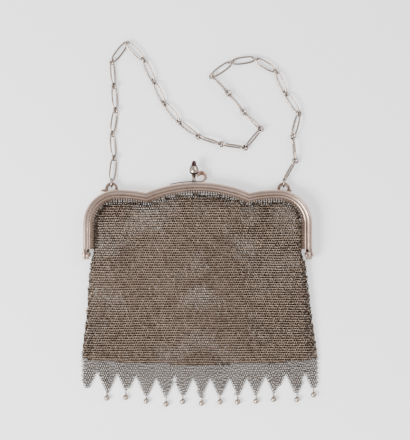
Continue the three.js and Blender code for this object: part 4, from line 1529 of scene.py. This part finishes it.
def seat(roll):
    """Where a link lies in its end ring: as low as the lug's strip and the surface allow."""
    reach = END_RING_WIDTH / 2 - END_RING_WIRE - CHAIN_WIRE / 2 + CHAIN_BITE
    play = END_RING_WIDTH / 2 - END_RING_WIRE - LUG_STRIP / 2 - CLEAR
    past_strip = LUG_STRIP / 2 + CLEAR + CHAIN_WIRE / 2 - play
    lowest = -math.sqrt(reach**2 - past_strip**2)
    z = max(lowest, standing(LINK_WIDTH, CHAIN_WIRE, roll) - LUG_MIDDLE)
    return np.array([0, math.sqrt(reach**2 - z**2), z])


def chain_joints(rolls, ring_rolls):
    """The middles of all rings from lug to lug, settled so that every link fits."""
    joints = [lug_ring(-1) + seat(rolls[0])]
    for i, (x, y, _) in enumerate(ROUTE, 1):
        height = max(
            standing(RING_WIDTH, CHAIN_WIRE, ring_rolls[i - 1]),
            standing(LINK_WIDTH, CHAIN_WIRE, rolls[i - 1]),
            standing(LINK_WIDTH, CHAIN_WIRE, rolls[i]),
        )
        joints.append(np.array([x, y, height]))
    joints.append(lug_ring(1) + seat(rolls[-1]))
    last = len(joints) - 1
    for _ in range(SETTLING_ROUNDS):
        for i in range(last):
            wanted = LINK_LENGTH - CHAIN_WIRE + hold(i, last) + hold(i + 1, last)
            way = joints[i + 1] - joints[i]
            length = np.linalg.norm(way)
            way = way / length * [1, 1, 0]
            near, far = (0, 1) if i == 0 else (1, 0) if i == last - 1 else (0.5, 0.5)
            joints[i] = joints[i] + way * (length - wanted) * near
            joints[i + 1] = joints[i + 1] - way * (length - wanted) * far
    return joints


def hold(i, last):
    """From the middle of a ring to the wire of a link in it. At the lugs the wire's place is known."""
    return 0 if i in (0, last) else RING_WIDTH / 2 - 1.5 * CHAIN_WIRE + CHAIN_BITE


def rolled(along, roll):
    """The upright direction square to a loop's length, rolled about it."""
    up = Vector((0, 0, 1))
    flat = (up - along * up.dot(along)).normalized()
    return Matrix.Rotation(roll, 3, along) @ flat


def chain():
    """Long links, small rings and the two end rings in the lugs, as one piece."""
    rolls = [math.radians(v) for v in (FIRST_ROLL, *(row[2] for row in ROUTE))]
    ring_rolls = [(a + b) / 2 + math.pi / 2 for a, b in zip(rolls, rolls[1:])]
    joints = [Vector(j) for j in chain_joints(rolls, ring_rolls)]
    last = len(joints) - 1
    links, rings = [], []
    for i in range(last):
        along = (joints[i + 1] - joints[i]).normalized()
        middle = (joints[i] + along * hold(i, last) + joints[i + 1] - along * hold(i + 1, last)) / 2
        links.append((at(*middle), along, rolled(along, rolls[i])))
    for i in range(1, last):
        along = (joints[i + 1] - joints[i - 1]).normalized()
        rings.append((at(*joints[i]), along, rolled(along, ring_rolls[i - 1])))
    ends = [(at(*lug_ring(hand)), Vector((0, 1, 0)), Vector((1, 0, 0))) for hand in (-1, 1)]
    look = {"material": CHAIN_SILVER, "wire_sides": 12}
    parts = [
        wire_loops(
            "links", links, LINK_LENGTH, LINK_WIDTH, CHAIN_WIRE, power=LINK_POWER, steps=28, seed=1, **look
        ),
        wire_loops("rings", rings, RING_WIDTH, RING_WIDTH, CHAIN_WIRE, steps=20, seed=2, **look),
        wire_loops("ends", ends, END_RING_WIDTH, END_RING_WIDTH, END_RING_WIRE, steps=24, seed=4, **look),
    ]
    return join("link_chain", *parts)


hand_over(chain(), CHAIN_SILVER, "chain_silver", "chain")
